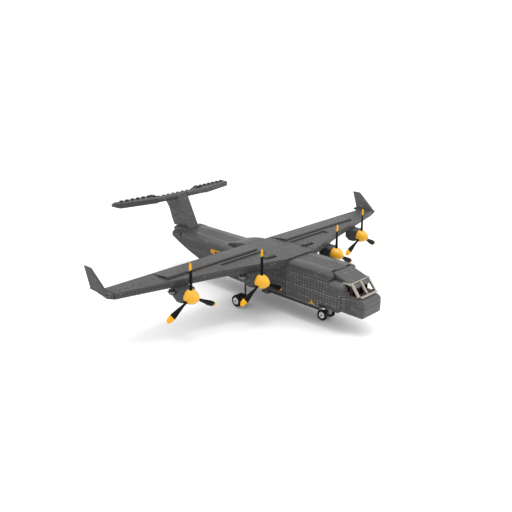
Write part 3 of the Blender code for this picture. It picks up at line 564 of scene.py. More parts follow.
@dataclass(frozen=True)
class BarPlastic:
    """Tan plastic of the windshield bars, with painted shade in the ladder's gaps and on the inner sides of the
    outer posts.
    """

    colour: Colour = tint(0.31, 0.275, 0.225)
    roughness: float = 0.38
    gap_ends: Pair = (-161.3, -158.6)
    gap_low: float = 44.9
    gap_sides: Pair = (1.5, 12.9)
    post_low: float = 46.5
    post_far: float = 16.0
    inward_limit: float = -6.0
    # dark: colour of the painted shade.
    dark: Colour = tint(0.020, 0.010, 0.008)

    def material(self, name: str) -> Material:
        """Makes the material.

        Args:
            name: the material's name.

        Returns:
            The material.
        """
        graph = Graph(name)
        x, y, z = graph.place()
        nx = graph.facing()[0]
        out = abs(x)
        # Painted shade: the ladder's gaps between the posts, and the posts' inward faces above post_low.
        gap = (y > self.gap_ends[0]) * (y < self.gap_ends[1]) * (z > self.gap_low)
        gap = gap * (out > self.gap_sides[0]) * (out < self.gap_sides[1]) * (z < self.post_low)
        inward_shade_mask = ((x * nx) < self.inward_limit) * (z > self.post_low) * (out < self.post_far)
        flow = graph.grain(0.4, 3.0)
        speck = graph.grain(3.0, 2.0)
        colour = graph.shade(graph.mix(gap | inward_shade_mask, self.colour, self.dark), 0.9 + flow * 0.2)
        return graph.finish(colour, self.roughness + speck * 0.1, speck * 0.08 - gap + 1.0, 0.0001)


@dataclass(frozen=True)
class WheelFinish:
    """What the finishes of a wheel share: its size and place."""

    radius: float
    centre_y: float

    def measure(self, graph: Graph) -> tuple[Signal, Signal, Signal, Signal]:
        """Finds the place round the wheel's axis.

        Args:
            graph: the material's nodes.

        Returns:
            Distances behind, above and away from the axis, and how far the surface faces sideways.
        """
        _, y, z = graph.place()
        behind = y - self.centre_y
        above = z - self.radius
        return behind, above, behind.reach(above), abs(graph.facing()[0])


@dataclass(frozen=True)
class TyreRubber(WheelFinish):
    """Black rubber with fine rings on the tyre's walls and a dusty tread."""

    black: Colour = grey(0.004)
    dust: Colour = tint(0.016, 0.015, 0.014)

    def material(self, name: str) -> Material:
        """Makes the material.

        Args:
            name: the material's name.

        Returns:
            The material.
        """
        graph = Graph(name)
        _, _, radius, sideways = self.measure(graph)
        rings = radius.seam(0.7).fade(0.2, 0.08) * sideways.fade(0.5, 0.8) * 0.6
        dusty = radius.fade(self.radius - 0.3, self.radius) * 0.5
        speck = graph.grain(2.6, 4.0)
        colour = graph.mix(dusty * speck, self.black, self.dust)
        colour = graph.shade(colour, (1.0 - rings * 0.4) * (0.8 + speck * 0.4))
        return graph.finish(colour, 0.6 + speck * 0.25, 1.0 - rings + speck * 0.12, 0.00015,
                            Specular_IOR_Level=0.25)


@dataclass(frozen=True)
class RimPlastic(WheelFinish):
    """White rims with painted shadow in a ring groove and in a cross-shaped axle hole."""

    white: Colour = tint(0.80, 0.80, 0.79)
    shadow: Colour = grey(0.03)
    groove_share: float = 0.48
    hole_radius: float = 1.9
    slot_half: float = 0.55

    def material(self, name: str) -> Material:
        """Makes the material.

        Args:
            name: the material's name.

        Returns:
            The material.
        """
        graph = Graph(name)
        behind, above, radius, sideways = self.measure(graph)
        face = sideways > 0.7
        groove = abs(radius - self.radius * self.groove_share).fade(0.35, 0.12)
        cross = (abs(behind) < self.slot_half) | (abs(above) < self.slot_half)
        # dark: painted shadow, faint in the groove and full in the axle hole.
        dark = (groove * face * 0.45) | ((radius < self.hole_radius) * cross * face)
        speck = graph.grain(1.5, 3.0)
        colour = graph.shade(graph.mix(dark, self.white, self.shadow), 0.95 + speck * 0.08)
        return graph.finish(colour, 0.3 + speck * 0.1, 1.0 - dark, 0.0004)


def add_piece(name: str, bm: BMesh, material: Material, smooth_angle: float = 35.0,
              body: str = "airframe") -> bpy.types.Object:
    """Turns a bmesh in millimetres into a dressed piece that rides on a body.

    Args:
        name: the piece's name.
        bm: its mesh, which is freed.
        material: its finish.
        smooth_angle: edges sharper than this stay sharp.
        body: the CAD body that it rides on.

    Returns:
        The piece.
    """
    bmesh.ops.recalc_face_normals(bm, faces=bm.faces)
    bmesh.ops.scale(bm, vec=(MM, MM, MM), verts=bm.verts)
    mesh = bpy.data.meshes.new(name)
    bm.to_mesh(mesh)
    bm.free()
    mesh.materials.append(material)
    mesh.shade_smooth()
    mesh.set_sharp_from_angle(angle=math.radians(smooth_angle))
    made = bpy.data.objects.new(name, mesh)
    bpy.context.scene.collection.objects.link(made)
    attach(made, body)
    LOG.info("%s: %d faces on %s", name, len(mesh.polygons), body)
    return made


def loft(bm: BMesh, rings: Sequence[Sequence[Point]], closed: bool = False) -> None:
    """Joins rings of points.

    Args:
        bm: the mesh that they are added to.
        rings: the rings, with equal numbers of points.
        closed: whether the last ring joins the first. If not, both ends are capped.
    """
    rows = [[bm.verts.new(point) for point in ring] for ring in rings]
    count = len(rows[0])
    for row, following in zip(rows, rows[1:] + (rows[:1] if closed else [])):
        for i in range(count):
            j = (i + 1) % count
            bm.faces.new((row[i], row[j], following[j], following[i]))
    if not closed:
        bm.faces.new(list(reversed(rows[0])))
        bm.faces.new(rows[-1])


def add_block(bm: BMesh, low: Point, high: Point, bevel: float = 0.15) -> None:
    """Adds a block with eased edges.

    Args:
        bm: the mesh that it is added to.
        low, high: its corners. Their x may be given either way round.
        bevel: width of the eased edges.
    """
    made = bmesh.ops.create_cube(bm, size=1.0)["verts"]
    near, far = sorted((low[0], high[0]))
    size = Vector((far - near, high[1] - low[1], high[2] - low[2]))
    middle = Vector((near + far, low[1] + high[1], low[2] + high[2])) / 2
    for vert in made:
        vert.co = middle + Vector((vert.co.x * size.x, vert.co.y * size.y, vert.co.z * size.z))
    edges = {edge for vert in made for edge in vert.link_edges}
    bmesh.ops.bevel(bm, geom=list(edges), offset=bevel, segments=2, profile=0.6, affect="EDGES")


def add_round(bm: BMesh, centre: Point, axis: Point, profile: Sequence[Pair], segments: int = 24) -> None:
    """Adds a round solid.

    Args:
        bm: the mesh that it is added to.
        centre: the point that the profile's places count from.
        axis: unit vector along the solid.
        profile: (place, radius) pairs from one end to the other.
        segments: faces round it.
    """
    ahead = Vector(axis)
    across = ahead.orthogonal().normalized()
    up = ahead.cross(across)
    turns = [2 * math.pi * i / segments for i in range(segments)]
    rings = []
    for along, radius in profile:
        middle = Vector(centre) + ahead * along
        rings.append([tuple(middle + (across * math.cos(t) + up * math.sin(t)) * radius) for t in turns])
    loft(bm, rings)


def wear(nodes: Sequence[str], material: Material) -> None:
    """Gives one finish to several CAD nodes.

    Args:
        nodes: the nodes' names.
        material: the finish.
    """
    for name in nodes:
        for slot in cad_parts[name].material_slots:
            slot.material = material
        LOG.info("%s wears %s", name, material.name)


@dataclass(frozen=True)
class CornerPiece:
    """A rounded corner piece along the roof: a straight part in place of a CAD node, and a domed tip."""

    node: str
    top: float
    lip: float
    flat: float
    inner: float
    base: float
    rear: float
    joint: float
    tip_base: float
    tip_front: float
    # sheen: strength of the painted highlight on the piece's curves.
    sheen: float
    outer: float = 24.0
    tip_inner: float = 16.3
    overlap: float = 0.05
    curve_steps: int = 12
    dome_steps: int = 10
    dome_turn: float = 84.0

    def profile(self, inner: float, base: float) -> list[Pair]:
        """Outline (x, z) of the piece.

        Args:
            inner: its side nearest to the middle.
            base: its lowest height.

        Returns:
            The outline's points.
        """
        points = [(inner, base)]
        if inner < self.flat:
            points.append((inner, self.top))
        start = max(inner, self.flat)
        for i in range(self.curve_steps + 1):
            turn = math.radians(90.0 * i / self.curve_steps)
            x = start + (self.outer - start) * math.sin(turn)
            share = (x - self.flat) / (self.outer - self.flat)
            points.append((x, self.lip + (self.top - self.lip) * math.sqrt(max(0.0, 1.0 - share * share))))
        return points + [(self.outer, base)]

    def dome(self) -> list[Pair]:
        """Rounds the tip as a dome.

        Returns:
            For each of its rings the place fore and aft, and how far it shrinks.
        """
        start = self.joint - self.overlap
        turns = [math.radians(self.dome_turn * i / self.dome_steps) for i in range(self.dome_steps + 1)]
        return [(start + (self.tip_front - start) * math.sin(turn), math.cos(turn)) for turn in turns]

    def solid(self, side: int, inner: float, base: float, rings: Sequence[Pair]) -> BMesh:
        """Lofts the outline through its rings.

        Args:
            side: -1 for starboard, 1 for port.
            inner, base: the outline's inner side and lowest height, towards which it shrinks.
            rings: place fore and aft and shrink of each ring.

        Returns:
            The mesh.
        """
        bm = bmesh.new()
        outline = self.profile(inner, base)
        loft(bm, [[((inner + (x - inner) * shrink) * side, y, base + (z - base) * shrink)
                   for x, z in outline] for y, shrink in rings])
        return bm

    def build(self, finish: Material) -> None:
        """Makes the straight part and the tip on both sides.

        Args:
            finish: the plastic that they are made of.
        """
        for side, word in SIDES:
            node = f"{self.node}_{word}"
            straight = self.solid(side, self.inner, self.base, ((self.rear, 1.0), (self.joint, 1.0)))
            made = add_piece(node + "_corner", straight, finish, 40.0)
            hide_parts(node)
            tip = self.solid(side, self.tip_inner, self.tip_base, self.dome())
            add_piece(node + "_tip", tip, finish, 50.0)


@dataclass
class Body:
    """Fuselage: walls, roofs and shoulders, with the coloured patches and dark gaps on its sides."""

    # black: painted shade along the belly edge and at the step down to the keel.
    black: Colour = grey(0.004)
    # Painted shade of a small recess in the wall under the wing root.
    recess_shade_grey: Colour = grey(0.018)
    pale: Colour = grey(0.085)
    nose_triangle: Patch = Patch(((-109.9, 24.3), (-102.4, 24.3), (-106.0, 29.4)))
    tail_block: Patch = Patch(((57.5, 43.4), (57.5, 49.2), (50.0, 49.6), (50.0, 43.4)))
    tail_point: Patch = Patch(((50.2, 46.6), (50.2, 49.6), (38.0, 48.9), (38.0, 48.2)))
    glint_rows: tuple[float, ...] = (52.2, 38.8, 31.5, 24.2)
    corners: tuple[CornerPiece, ...] = (
        CornerPiece("shoulders_front", top=64.8, lip=61.4, flat=12.0, inner=8.3, base=58.4, rear=-69.3,
                    joint=-124.5, tip_base=57.1, tip_front=-130.6, sheen=0.0),
        CornerPiece("cockpit_shoulders", top=57.0, lip=50.6, flat=16.3, inner=16.3, base=48.1, rear=-127.3,
                    joint=-140.6, tip_base=44.3, tip_front=-147.0, sheen=0.9))
    cross_strips: tuple[tuple[Point, Point], ...] = (
        ((-15.0, -127.9, 62.4), (15.0, -126.6, 63.9)),
        ((-15.5, -69.9, 62.0), (15.5, -68.6, 64.68)))
    side_strips: tuple[tuple[Point, Point], ...] = (
        ((22.0, -70.0, 23.0), (23.88, -68.3, 58.8)),
        ((22.5, -125.0, 57.4), (23.86, -69.6, 58.9)),
        ((22.5, 14.0, 51.4), (23.86, 115.0, 52.6)),
        ((7.0, -125.5, 63.0), (9.0, -70.0, 64.68)),
        ((7.0, 14.0, 57.0), (9.0, 115.5, 58.38)),
        ((19.0, -127.4, 49.0), (23.7, -126.5, 58.2)),
        ((13.5, -160.3, 24.5), (15.86, -158.8, 43.0)))
    strip_bevel: float = 0.05

    def marks(self) -> tuple[Patch, ...]:
        """The walls' patches: colours, painted shade along the belly edge and at the step down to the keel,
        painted shade of a recess under the wing root, and two pale joints.
        """
        return (self.nose_triangle, self.tail_block, self.tail_point,
                # Painted shade along the belly's lower edge.
                Patch.bar(-118.0, -41.0, 19.0, 22.4, self.black),
                # Painted shade under the step down to the keel.
                Patch.bar(-136.5, -116.2, 22.9, 27.9, self.black),
                # Painted shade where a recess sits in the wall under the wing root.
                Patch.bar(-59.0, -51.0, 54.2, 56.2, self.recess_shade_grey),
                Patch.bar(-81.6, -80.9, 39.0, 46.6, self.pale),
                Patch.bar(-110.5, -109.8, 43.8, 47.6, self.pale))

    def build_strips(self, finish: Material) -> None:
        """Makes the inner edges that show in the joints between the body's pieces.

        Args:
            finish: the plastic that they are made of.
        """
        bm = bmesh.new()
        for low, high in self.cross_strips:
            add_block(bm, low, high, self.strip_bevel)
        for low, high in self.side_strips:
            for side, _ in SIDES:
                add_block(bm, (low[0] * side, *low[1:]), (high[0] * side, *high[1:]), self.strip_bevel)
        add_piece("joint_strips", bm, finish)

    def build(self) -> None:
        """Gives the body's nodes their finishes and makes its corner pieces and joint strips."""
        rows = Courses(notch=0.85, notch_dark=1.4, row_gap=0.35, glint_rows=self.glint_rows)
        # Both walls are one grey plastic: the front is painted lighter against the wing's shade on it, and the
        # rear darker against the fuller light it gets.
        wall = BrickPlastic(colour=grey(0.055), patches=self.marks(), sides=rows)
        wear(["front_shell"], wall.material("front_wall_bricks"))
        wear(["rear_shell"], replace(wall, colour=grey(0.038)).material("rear_wall_bricks"))
        tiles = replace(TOP_ROWS, height=STUD / 2, notch_dark=0.4, row_gap=0.25)
        roof = BrickPlastic(tops=tiles, gap_dark=0.4).material("roof_tiles")
        wear(["roof_front", "roof_rear", "wing_fairing"], roof)
        # The joint strips are painted lighter than the walls to offset the shade inside the joints.
        self.build_strips(BrickPlastic(colour=grey(0.062), gap_dark=0.1).material("shade_lifted_strip_plastic"))
        corner = BrickPlastic(sides=Courses(notch_dark=0.2, row_gap=0.15, ends_kept=0.15),
                              tops=replace(SMOOTH_TOP_ROWS, row_gap=0.15, ends_kept=0.15), roughness=0.26)
        # The shoulders' sheen is a painted highlight along their curves.
        wear(["shoulders_rear_port", "shoulders_rear_starboard"],
             replace(corner, sheen=0.3).material("corner_bricks"))
        for piece in self.corners:
            finish = replace(corner, sheen=piece.sheen, specular=0.34)
            piece.build(finish.material(piece.node + "_bricks"))


@dataclass
class Cockpit:
    """Nose, cockpit roof, windshield bars, and seats with their side plates and pads."""

    # Painted shade along the nose's belly edge, in line with the walls' painted belly shade.
    nose_belly_shade: Patch = Patch.bar(-138.0, -127.0, 22.0, 24.2, grey(0.004))
    glint_rows: tuple[float, ...] = (41.0, 31.5)
    cap_pitch: float = 9.6
    cap_base: float = 33.4
    seat_x: float = 6.5
    seat_half: float = 4.5
    plate_thick: float = 0.9
    plate_front: float = -147.4
    plate_rear: float = -144.2
    plate_low: float = 31.5
    plate_high: float = 50.6
    edge_length: float = 3.0
    edge_rise: float = 0.6
    overlap: float = 0.05
    pad_half: float = 3.2
    pad_low: Pair = (-144.4, 36.0)
    pad_high: Pair = (-141.2, 49.0)

    def dress(self) -> None:
        """Gives the cockpit's nodes their finishes."""
        grid = Courses(height=STUD / 2, base=0.0, notch=0.8, notch_dark=1.1, row_gap=0.1, ends_kept=0.1)
        # The cockpit roof is painted lighter than the other roofs of the same plastic, standing in for the
        # brighter light its slope catches.
        roof = BrickPlastic(colour=grey(0.066), tops=grid, fronts=grid, gap_dark=0.35)
        wear(["cockpit_roof", "brow_slab"], roof.material("cockpit_roof_bricks"))
        nose = BrickPlastic(sides=Courses(glint_rows=self.glint_rows),
                            fronts=Courses(notch=0.5, notch_dark=0.6, row_gap=0.15, ends_kept=0.1),
                            tops=SMOOTH_TOP_ROWS, patches=(self.nose_belly_shade,), roughness=0.26, specular=0.42)
        wear(["nose_section"], nose.material("nose_bricks"))
        rows = Courses(height=self.cap_pitch, base=self.cap_base, notch=0.5, notch_dark=1.2, row_gap=0.05,
                       ends_kept=0.0, glint_share=0.0)
        cap = BrickPlastic(sides=rows, fronts=rows, tops=replace(rows, notch_dark=0.1), roughness=0.24,
                           specular=0.5, sheen=0.05)
        wear(["nose_cap_upper", "nose_cap_lower"], cap.material("nose_cap_bricks"))
        wear(["windshield_frame"], BarPlastic().material("windshield_bars"))
        black = GlossPlastic(tint(0.010, 0.010, 0.011), 0.34, groove_y=-143.0)
        wear(["cockpit_seats", "instrument_panel"], black.material("seat_plastic"))

    def build(self) -> None:
        """Dresses the cockpit, and makes each seat's red side plates with pale rear edges, and its pad."""
        self.dress()
        red, pale, pads = bmesh.new(), bmesh.new(), bmesh.new()
        for seat in (-self.seat_x, self.seat_x):
            for side, _ in SIDES:
                inner = seat + self.seat_half * side
                near = inner - self.overlap * side
                far = inner + self.plate_thick * side
                add_block(red, (near, self.plate_front, self.plate_low), (far, self.plate_rear, self.plate_high))
                add_block(pale, (near, self.plate_rear - self.overlap, self.plate_low),
                          (far, self.plate_rear + self.edge_length, self.plate_high + self.edge_rise), 0.3)
            add_block(pads, (seat - self.pad_half, *self.pad_low), (seat + self.pad_half, *self.pad_high), 0.9)
        for bm, name, slot, finish, colour, roughness, groove_y in (
                (red, "seat_plates", Slot.BLACK, "dark_red_plastic", tint(0.055, 0.006, 0.007), 0.3, -146.0),
                (pale, "seat_edges", Slot.WHITE, "pale_grey_plastic", tint(0.19, 0.18, 0.17), 0.35, -143.0),
                (pads, "seat_pads", Slot.BLACK, "seat_pad_plastic", tint(0.10, 0.085, 0.08), 0.5, -142.4)):
            add_piece(name, bm, GlossPlastic(colour, roughness, groove_y).material(finish))


@dataclass(frozen=True)
class PinHead:
    """A small round red pin head that stands on a top face."""

    profile: tuple[Pair, ...]
    segments: int = 20
    colour: Colour = tint(0.20, 0.035, 0.035)

    def build(self, name: str, plastic: str, groove_y: float, spots: Sequence[Point]) -> None:
        """Makes one piece that holds several pin heads.

        Args:
            name: the piece's name.
            plastic: the name of its finish.
            groove_y: place of the finish's mould line.
            spots: where the pin heads stand.
        """
        bm = bmesh.new()
        for spot in spots:
            add_round(bm, spot, UP, self.profile, self.segments)
        add_piece(name, bm, GlossPlastic(self.colour, 0.35, groove_y).material(plastic))


@dataclass
class Wing:
    """Both wings with their flaps, tips and winglets, hinge fingers in the slot, red joint edges and pins."""

    joint_x: float = 104.0
    slot_front: float = -25.6
    slot_rear: float = -23.7
    finger_low: float = 63.6
    finger_high: float = 65.4
    finger_half: Pair = (0.9, 1.7)
    finger_start_x: float = 28.0
    slot_end_x: float = 152.0
    ridge_y: float = -22.1
    ridge_z: float = 68.6
    ridge_radius: float = 1.8
    panel_z: float = 66.6
    flap_slope: float = -0.1275
    edge_x: float = 104.9
    edge_start_y: float = -29.6
    edge_rings: int = 38
    # Both winglets are one plastic in two painted greys: the port one lighter to offset the shade on its inner
    # face, the starboard one darker against its brighter light.
    winglet_shade_offset_greys: Pair = (0.029, 0.078)
    dots: tuple[DotRow, ...] = (DotRow(-13.0, 24.0, 212.0), DotRow(-41.8, 24.0, 99.0))
    pin: PinHead = PinHead(((0.0, 0.85), (0.22, 0.85), (0.36, 0.6), (0.42, 0.1)))
    pin_sink: float = 0.12
    pins: tuple[Pair, ...] = ((43.7, -9.7), (76.5, -19.6), (132.0, -19.3))

    def dress(self) -> None:
        """Gives the wings' nodes their finishes."""
        tops = Courses(height=STUD, base=-41.8, notch_dark=0.3, row_gap=0.45, ends_kept=0.25, glint_share=0.2)
        fronts = Courses(height=STUD, base=62.6, notch=0.8, notch_dark=1.3, row_gap=0.35, ends_kept=0.3)
        plates = BrickPlastic(top_run=Run.ACROSS, tops=tops, fronts=fronts, sides=Courses(base=59.2),
                              dots=self.dots)
        names = ["wing_centre_box"]
        for _, word in SIDES:
            names += [part + word for part in ("wing_inner_", "wing_outer_", "flap_", "wing_tip_")]
        wear(names, plates.material("wing_plates"))
        faint = Courses(height=STUD, row_gap=0.1, notch_dark=0.1, ends_kept=0.1)
        # Each winglet gets its own grey, painted lighter or darker for the light on that side.
        for (_, word), level in zip(SIDES, self.winglet_shade_offset_greys):
            blade = BrickPlastic(colour=grey(level), sides=faint, roughness=0.36)
            wear(["winglet_" + word], blade.material("winglet_plastic_" + word))

    def flap_height(self, y: float) -> float:
        """Height of the flap's top, its round front ridge included.

        Args:
            y: place fore and aft.

        Returns:
            The height.
        """
        if y > self.ridge_y:
            return self.ridge_z + (y - self.ridge_y) * self.flap_slope
        drop = min(1.0, (self.ridge_y - y) / self.ridge_radius)
        return max(self.panel_z, self.ridge_z - self.ridge_radius * (1.0 - math.sqrt(1.0 - drop * drop)))

    def build_fingers(self, side: int, word: str) -> None:
        """Makes the hinge fingers that bridge the slot ahead of the flap.

        Args:
            side: -1 for starboard, 1 for port.
            word: the side's name.
        """
        bm = bmesh.new()
        x = self.finger_start_x
        while x < self.slot_end_x:
            outboard = x >= self.joint_x
            half = self.finger_half[outboard]
            add_block(bm, ((x - half) * side, self.slot_front, self.finger_low),
                      ((x + half) * side, self.slot_rear, self.finger_high), 0.25)
            x += STUD if outboard else STUD / 2
        finger = BrickPlastic(colour=grey(0.03), top_run=Run.ACROSS).material("finger_plastic_" + word)
        add_piece("hinge_fingers_" + word, bm, finger)

    def build_joint(self, side: int, word: str) -> None:
        """Makes the wavy red edge that shows in the joint across the flap and its ridge.

        Args:
            side: -1 for starboard, 1 for port.
            word: the side's name.
        """
        bm = bmesh.new()
        section = ((-0.35, -0.1), (0.35, -0.1), (0.25, 0.14), (-0.25, 0.14))
        rings = []
        for i in range(self.edge_rings):
            y = self.edge_start_y + i * 0.5
            x = self.edge_x + 0.55 * math.cos((y + 14.0) * 0.42)
            z = self.flap_height(y)
            rings.append([((x + out) * side, y, z + up) for out, up in section])
        loft(bm, rings)
        edge = GlossPlastic(tint(0.115, 0.045, 0.045), 0.4, -20.0).material("red_edge_plastic_" + word)
        add_piece("joint_edge_" + word, bm, edge)

    def build(self) -> None:
        """Dresses the wings and makes their trim."""
        self.dress()
        for side, word in SIDES:
            self.build_fingers(side, word)
            self.build_joint(side, word)
            spots = [(x * side, y, self.flap_height(y) - self.pin_sink) for x, y in self.pins]
            self.pin.build("red_pins_" + word, "red_pin_plastic_" + word, -20.0, spots)


@dataclass
class Engines:
    """Nacelles, spinners and propellers, and the small pins and the pale ring of each outboard dish."""

    dish_out: float = 9.5
    dish_behind: float = 17.0
    dish_low: float = 52.3
    dish_high: float = 55.5
    dish_radius: float = 3.6
    ring_lip: float = 0.5
    ring_edge: float = 0.7
    stub: tuple[Pair, ...] = ((0.0, 1.0), (0.3, 1.3), (2.0, 1.3))
    bush: tuple[Pair, ...] = ((0.0, 0.9), (1.7, 0.9), (2.0, 0.6))
    pin: tuple[Pair, ...] = ((0.0, 1.0), (3.6, 1.0), (4.0, 0.7))

    def dress(self) -> None:
        """Gives the engines' nodes their finishes."""
        rows = Courses(base=44.4, row_gap=0.3, notch_dark=0.3)
        box = BrickPlastic(colour=tint(0.032, 0.034, 0.040), sides=rows, fronts=rows).material("nacelle_bricks")
        for name, centre in ENGINES.items():
            wear(["nacelle_" + name], box)
            cone = GlossPlastic(tint(0.68, 0.34, 0.007), 0.2, groove_y=centre[1])
            wear(["spinner_" + name], cone.material("spinner_gloss_" + name))
            wear(["propeller_" + name], BladePlastic().material("blade_plastic_" + name, centre))

    def build_trim(self, name: str, centre: Point) -> None:
        """Makes the pale ring round one dish, the teal bushes and the brown pin.

        Args:
            name: the engine's name.
            centre: the engine's place.
        """
        side = math.copysign(1.0, centre[0])
        x = centre[0] + self.dish_out * side
        y = centre[1] + self.dish_behind
        low = self.dish_low
        rise = self.dish_high - low
        lip = self.dish_radius - 0.1
        rim = self.dish_radius + 0.25
        ring, teal, brown = bmesh.new(), bmesh.new(), bmesh.new()
        profile = ((self.ring_lip, lip), (self.ring_edge, rim), (rise - self.ring_edge, rim),
                   (rise - self.ring_lip, lip))
        add_round(ring, (x, y, low), UP, profile, 40)
        add_round(teal, (x, y, low - 1.9), UP, self.stub)
        add_round(teal, (x + 1.8 * side, y + 2.8, low + 1.4), REARWARD, self.bush)
        add_round(brown, (x - 1.5 * side, y + 2.6, low + 2.2), REARWARD, self.pin)
        for bm, piece, slot, finish, colour, roughness in (
                (ring, "dish_ring_", Slot.WHITE, "dish_plastic_", tint(0.135, 0.132, 0.13), 0.3),
                (teal, "teal_bushes_", Slot.WHITE, "teal_plastic_", tint(0.05, 0.22, 0.25), 0.3),
                (brown, "brown_pin_", Slot.BLACK, "brown_plastic_", tint(0.06, 0.022, 0.015), 0.35)):
            add_piece(piece + name, bm, GlossPlastic(colour, roughness, y).material(finish + name))

    def build(self) -> None:
        """Dresses the engines and makes their trim."""
        self.dress()
        for name, centre in ENGINES.items():
            self.build_trim(name, centre)


@dataclass
class Tail:
    """Fin and tailplane, with the red pin heads on the tailplane."""

    fin_base: float = 58.8
    plane_base: float = 95.4
    pin: PinHead = PinHead(((-0.2, 0.8), (0.12, 0.8), (0.26, 0.55), (0.32, 0.1)))
    pins: tuple[Point, ...] = ((38.2, 155.6, 103.1), (36.6, 152.4, 103.1), (33.3, 143.6, 101.8),
                               (12.4, 147.0, 98.6))

    def dress(self) -> None:
        """Gives the tail's nodes their finishes."""
        fin = BrickPlastic(colour=grey(0.048),
                           sides=Courses(base=self.fin_base, glint_share=0.6, row_gap=0.6, notch_dark=0.8),
                           fronts=Courses(base=self.fin_base, notch_dark=1.1, row_gap=0.1, ends_kept=0.1))
        wear(["fin"], fin.material("fin_bricks"))
        plane = BrickPlastic(top_run=Run.ACROSS, sides=Courses(base=self.plane_base),
                             fronts=Courses(base=self.plane_base, row_gap=0.4, notch_dark=0.4))
        wear(["tailplane_centre", "tailplane_port", "tailplane_starboard"], plane.material("tailplane_plates"))

    def build(self) -> None:
        """Dresses the tail and makes its pins."""
        self.dress()
        spots = [(x * side, y, z) for side, _ in SIDES for x, y, z in self.pins]
        self.pin.build("red_pins_tail", "tail_pin_plastic", 150.0, spots)


@dataclass(frozen=True)
class Wheel:
    """Sizes of one size of wheel. The shares count from its radius or from half its width."""

    y: float
    radius: float
    width: float
    blocks: int
    rim_share: float = 0.62
    groove_share: float = 0.05
    crown_share: float = 0.22
    shoulder_share: float = 0.07

    def outline(self) -> list[tuple[float, float, bool]]:
        """Section of the tyre, from one bead over the tread to the other.

        Returns:
            For each point its radius, its place across the tyre, and whether it is on the tread blocks.
        """
        half = self.width / 2
        inner = self.radius * self.rim_share
        groove = self.radius - self.groove_share * self.radius
        crown = self.radius - self.crown_share * self.width
        shoulder = self.radius - self.shoulder_share * self.width
        points = ((inner, 0.86, False), (inner + 0.3 * (crown - inner), 1.0, False), (crown, 1.0, False),
                  (shoulder, 0.8, True), (self.radius, 0.56, True), (self.radius, 0.12, True),
                  (groove, 0.08, False))
        left = [(radius, -share * half, block) for radius, share, block in points]
        return left + [(radius, -along, block) for radius, along, block in reversed(left)]

    def tread(self, bm: BMesh, x: float) -> None:
        """Adds a tyre with round shoulders, tread blocks and a groove round its middle.

        Args:
            bm: the mesh that it is added to.
            x: middle of the tyre.
        """
        outline = self.outline()
        steps = self.blocks * 4
        rings = []
        for i in range(steps):
            turn = 2 * math.pi * i / steps
            ring = []
            for radius, along, block in outline:
                in_gap = block and (i + (2 if along > 0 else 0)) % 4 == 3
                size = radius - (self.groove_share * self.radius if in_gap else 0.0)
                ring.append((x + along, self.y + size * math.sin(turn), self.radius - size * math.cos(turn)))
            rings.append(ring)
        loft(bm, rings, closed=True)


@dataclass
class Gear:
    """Gear legs, rims, and tyres with modelled tread."""

    nose: Wheel = Wheel(-108.0, 6.4, 3.0, 20)
    main: Wheel = Wheel(-12.6, 7.0, 5.6, 22)
    nose_x: float = 7.2
    main_x: tuple[tuple[str, float], ...] = (("inner", 39.0), ("outer", 46.2))
    tyre_angle: float = 28.0

    def dress(self) -> None:
        """Gives the legs and rims their finishes."""
        leg = BrickPlastic(colour=tint(0.035, 0.032, 0.032)).material("leg_bricks")
        wear(["nose_gear_leg", "main_gear_leg_port", "main_gear_leg_starboard"], leg)
        nose_rim, main_rim = (RimPlastic(wheel.radius, wheel.y) for wheel in (self.nose, self.main))
        wear(["nose_wheels_rims"], nose_rim.material("nose_rim_plastic"))
        wear([f"main_wheels_{word}_rims" for _, word in SIDES], main_rim.material("main_rim_plastic"))

    def build(self) -> None:
        """Dresses the gear and makes its tyres, in place of their CAD nodes."""
        self.dress()
        nose_rubber = TyreRubber(self.nose.radius, self.nose.y).material("nose_tyre_rubber")
        main_rubber = TyreRubber(self.main.radius, self.main.y).material("main_tyre_rubber")
        tyres = []
        for side, word in SIDES:
            tyres.append((self.nose, self.nose_x * side, "nose_wheels_tyre_" + word, "nose_wheels", nose_rubber))
            body = "main_wheels_" + word
            tyres += [(self.main, x * side, f"{body}_tyre_{which}", body, main_rubber)
                      for which, x in self.main_x]
        for wheel, x, node, body, rubber in tyres:
            bm = bmesh.new()
            wheel.tread(bm, x)
            made = add_piece(node + "_tread", bm, rubber, self.tyre_angle, body)
            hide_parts(node)


@dataclass(frozen=True)
class Lamp:
    """A round soft lamp that points at the model. Its place and size are in metres, its power in watts."""

    name: str
    place: Point
    size: float
    power: float

    def build(self) -> None:
        """Adds the lamp to the scene."""
        data = bpy.data.lights.new(self.name, "AREA")
        data.shape = "DISK"
        data.size = self.size
        data.energy = self.power
        lamp = bpy.data.objects.new(self.name, data)
        lamp.location = self.place
        lamp.rotation_mode = "QUATERNION"
        lamp.rotation_quaternion = (-Vector(self.place)).to_track_quat("-Z", "Y")
        bpy.context.scene.collection.objects.link(lamp)


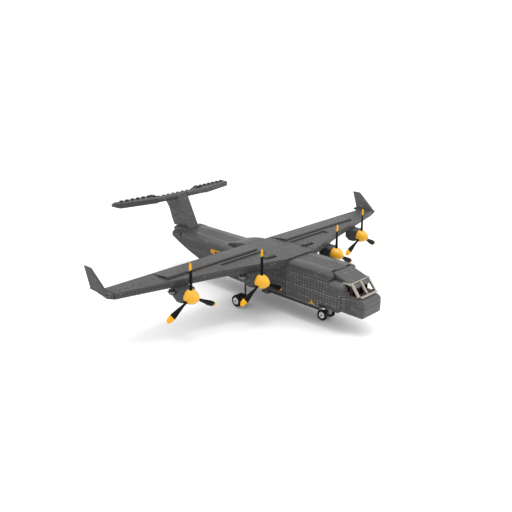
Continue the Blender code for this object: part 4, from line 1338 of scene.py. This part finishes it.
@dataclass
class Studio:
    """Pale floor, soft light from above and all round, and the camera at the photo's angle. In metres."""

    camera_place: Point = (-0.5241, -0.5151, 0.3022)
    azimuth: float = -45.378
    elevation: float = 19.122
    lens: float = 45.33
    sensor: float = 36.0
    clip: Pair = (0.01, 50.0)
    floor_radius: float = 6.0
    floor_drop: float = 0.0004
    floor_colour: Colour = grey(0.92)
    sky: float = 1.14
    lamps: tuple[Lamp, ...] = (Lamp("key_lamp", (0.1, -0.3, 1.6), 2.6, 11.5),
                               Lamp("glint_lamp", (-0.15, -0.25, 1.3), 0.3, 2.4),
                               Lamp("fill_lamp", (0.9, -1.1, 1.0), 1.4, 5.0))

    def build_floor(self) -> None:
        """Makes the floor, a large disc with a faint fine grain."""
        bm = bmesh.new()
        bmesh.ops.create_circle(bm, cap_ends=True, radius=self.floor_radius, segments=96)
        mesh = bpy.data.meshes.new("studio_floor")
        bm.to_mesh(mesh)
        bm.free()
        floor = bpy.data.objects.new("studio_floor", mesh)
        floor.location = (0.0, 0.0, -self.floor_drop)
        graph = Graph("floor_paper")
        tone = 0.97 + graph.grain(0.02) * 0.04
        mesh.materials.append(graph.finish(graph.shade(self.floor_colour, tone), 0.9))
        bpy.context.scene.collection.objects.link(floor)

    def build_light(self) -> None:
        """Makes the even sky and the lamps."""
        world = bpy.data.worlds.new("studio_sky")
        world.use_nodes = True
        sky = world.node_tree.nodes["Background"]
        sky.inputs["Color"].default_value = grey(1.0)
        sky.inputs["Strength"].default_value = self.sky
        bpy.context.scene.world = world
        for lamp in self.lamps:
            lamp.build()

    def build_camera(self) -> None:
        """Makes the camera and sets it as the scene's."""
        data = bpy.data.cameras.new("photo_camera")
        data.sensor_width = self.sensor
        data.lens = self.lens
        data.clip_start, data.clip_end = self.clip
        camera = bpy.data.objects.new("photo_camera", data)
        azimuth = math.radians(self.azimuth)
        elevation = math.radians(self.elevation)
        back = Vector((math.sin(azimuth) * math.cos(elevation), -math.cos(azimuth) * math.cos(elevation),
                       math.sin(elevation)))
        camera.location = self.camera_place
        camera.rotation_mode = "QUATERNION"
        camera.rotation_quaternion = (-back).to_track_quat("-Z", "Y")
        bpy.context.scene.collection.objects.link(camera)
        bpy.context.scene.camera = camera
        bpy.context.scene.view_settings.view_transform = "Standard"

    def build(self) -> None:
        """Makes the whole studio."""
        self.build_camera()
        self.build_floor()
        self.build_light()


def write_sizes() -> None:
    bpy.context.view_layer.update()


def main() -> None:
    """Builds the studio and each sub-assembly in order."""
    logging.basicConfig(level=logging.INFO, format="%(name)s: %(message)s")
    Studio().build()
    for assembly in (Body(), Cockpit(), Wing(), Engines(), Tail(), Gear()):
        LOG.info("building %s", type(assembly).__name__)
        assembly.build()
    write_sizes()


if __name__ == "__main__":
    main()
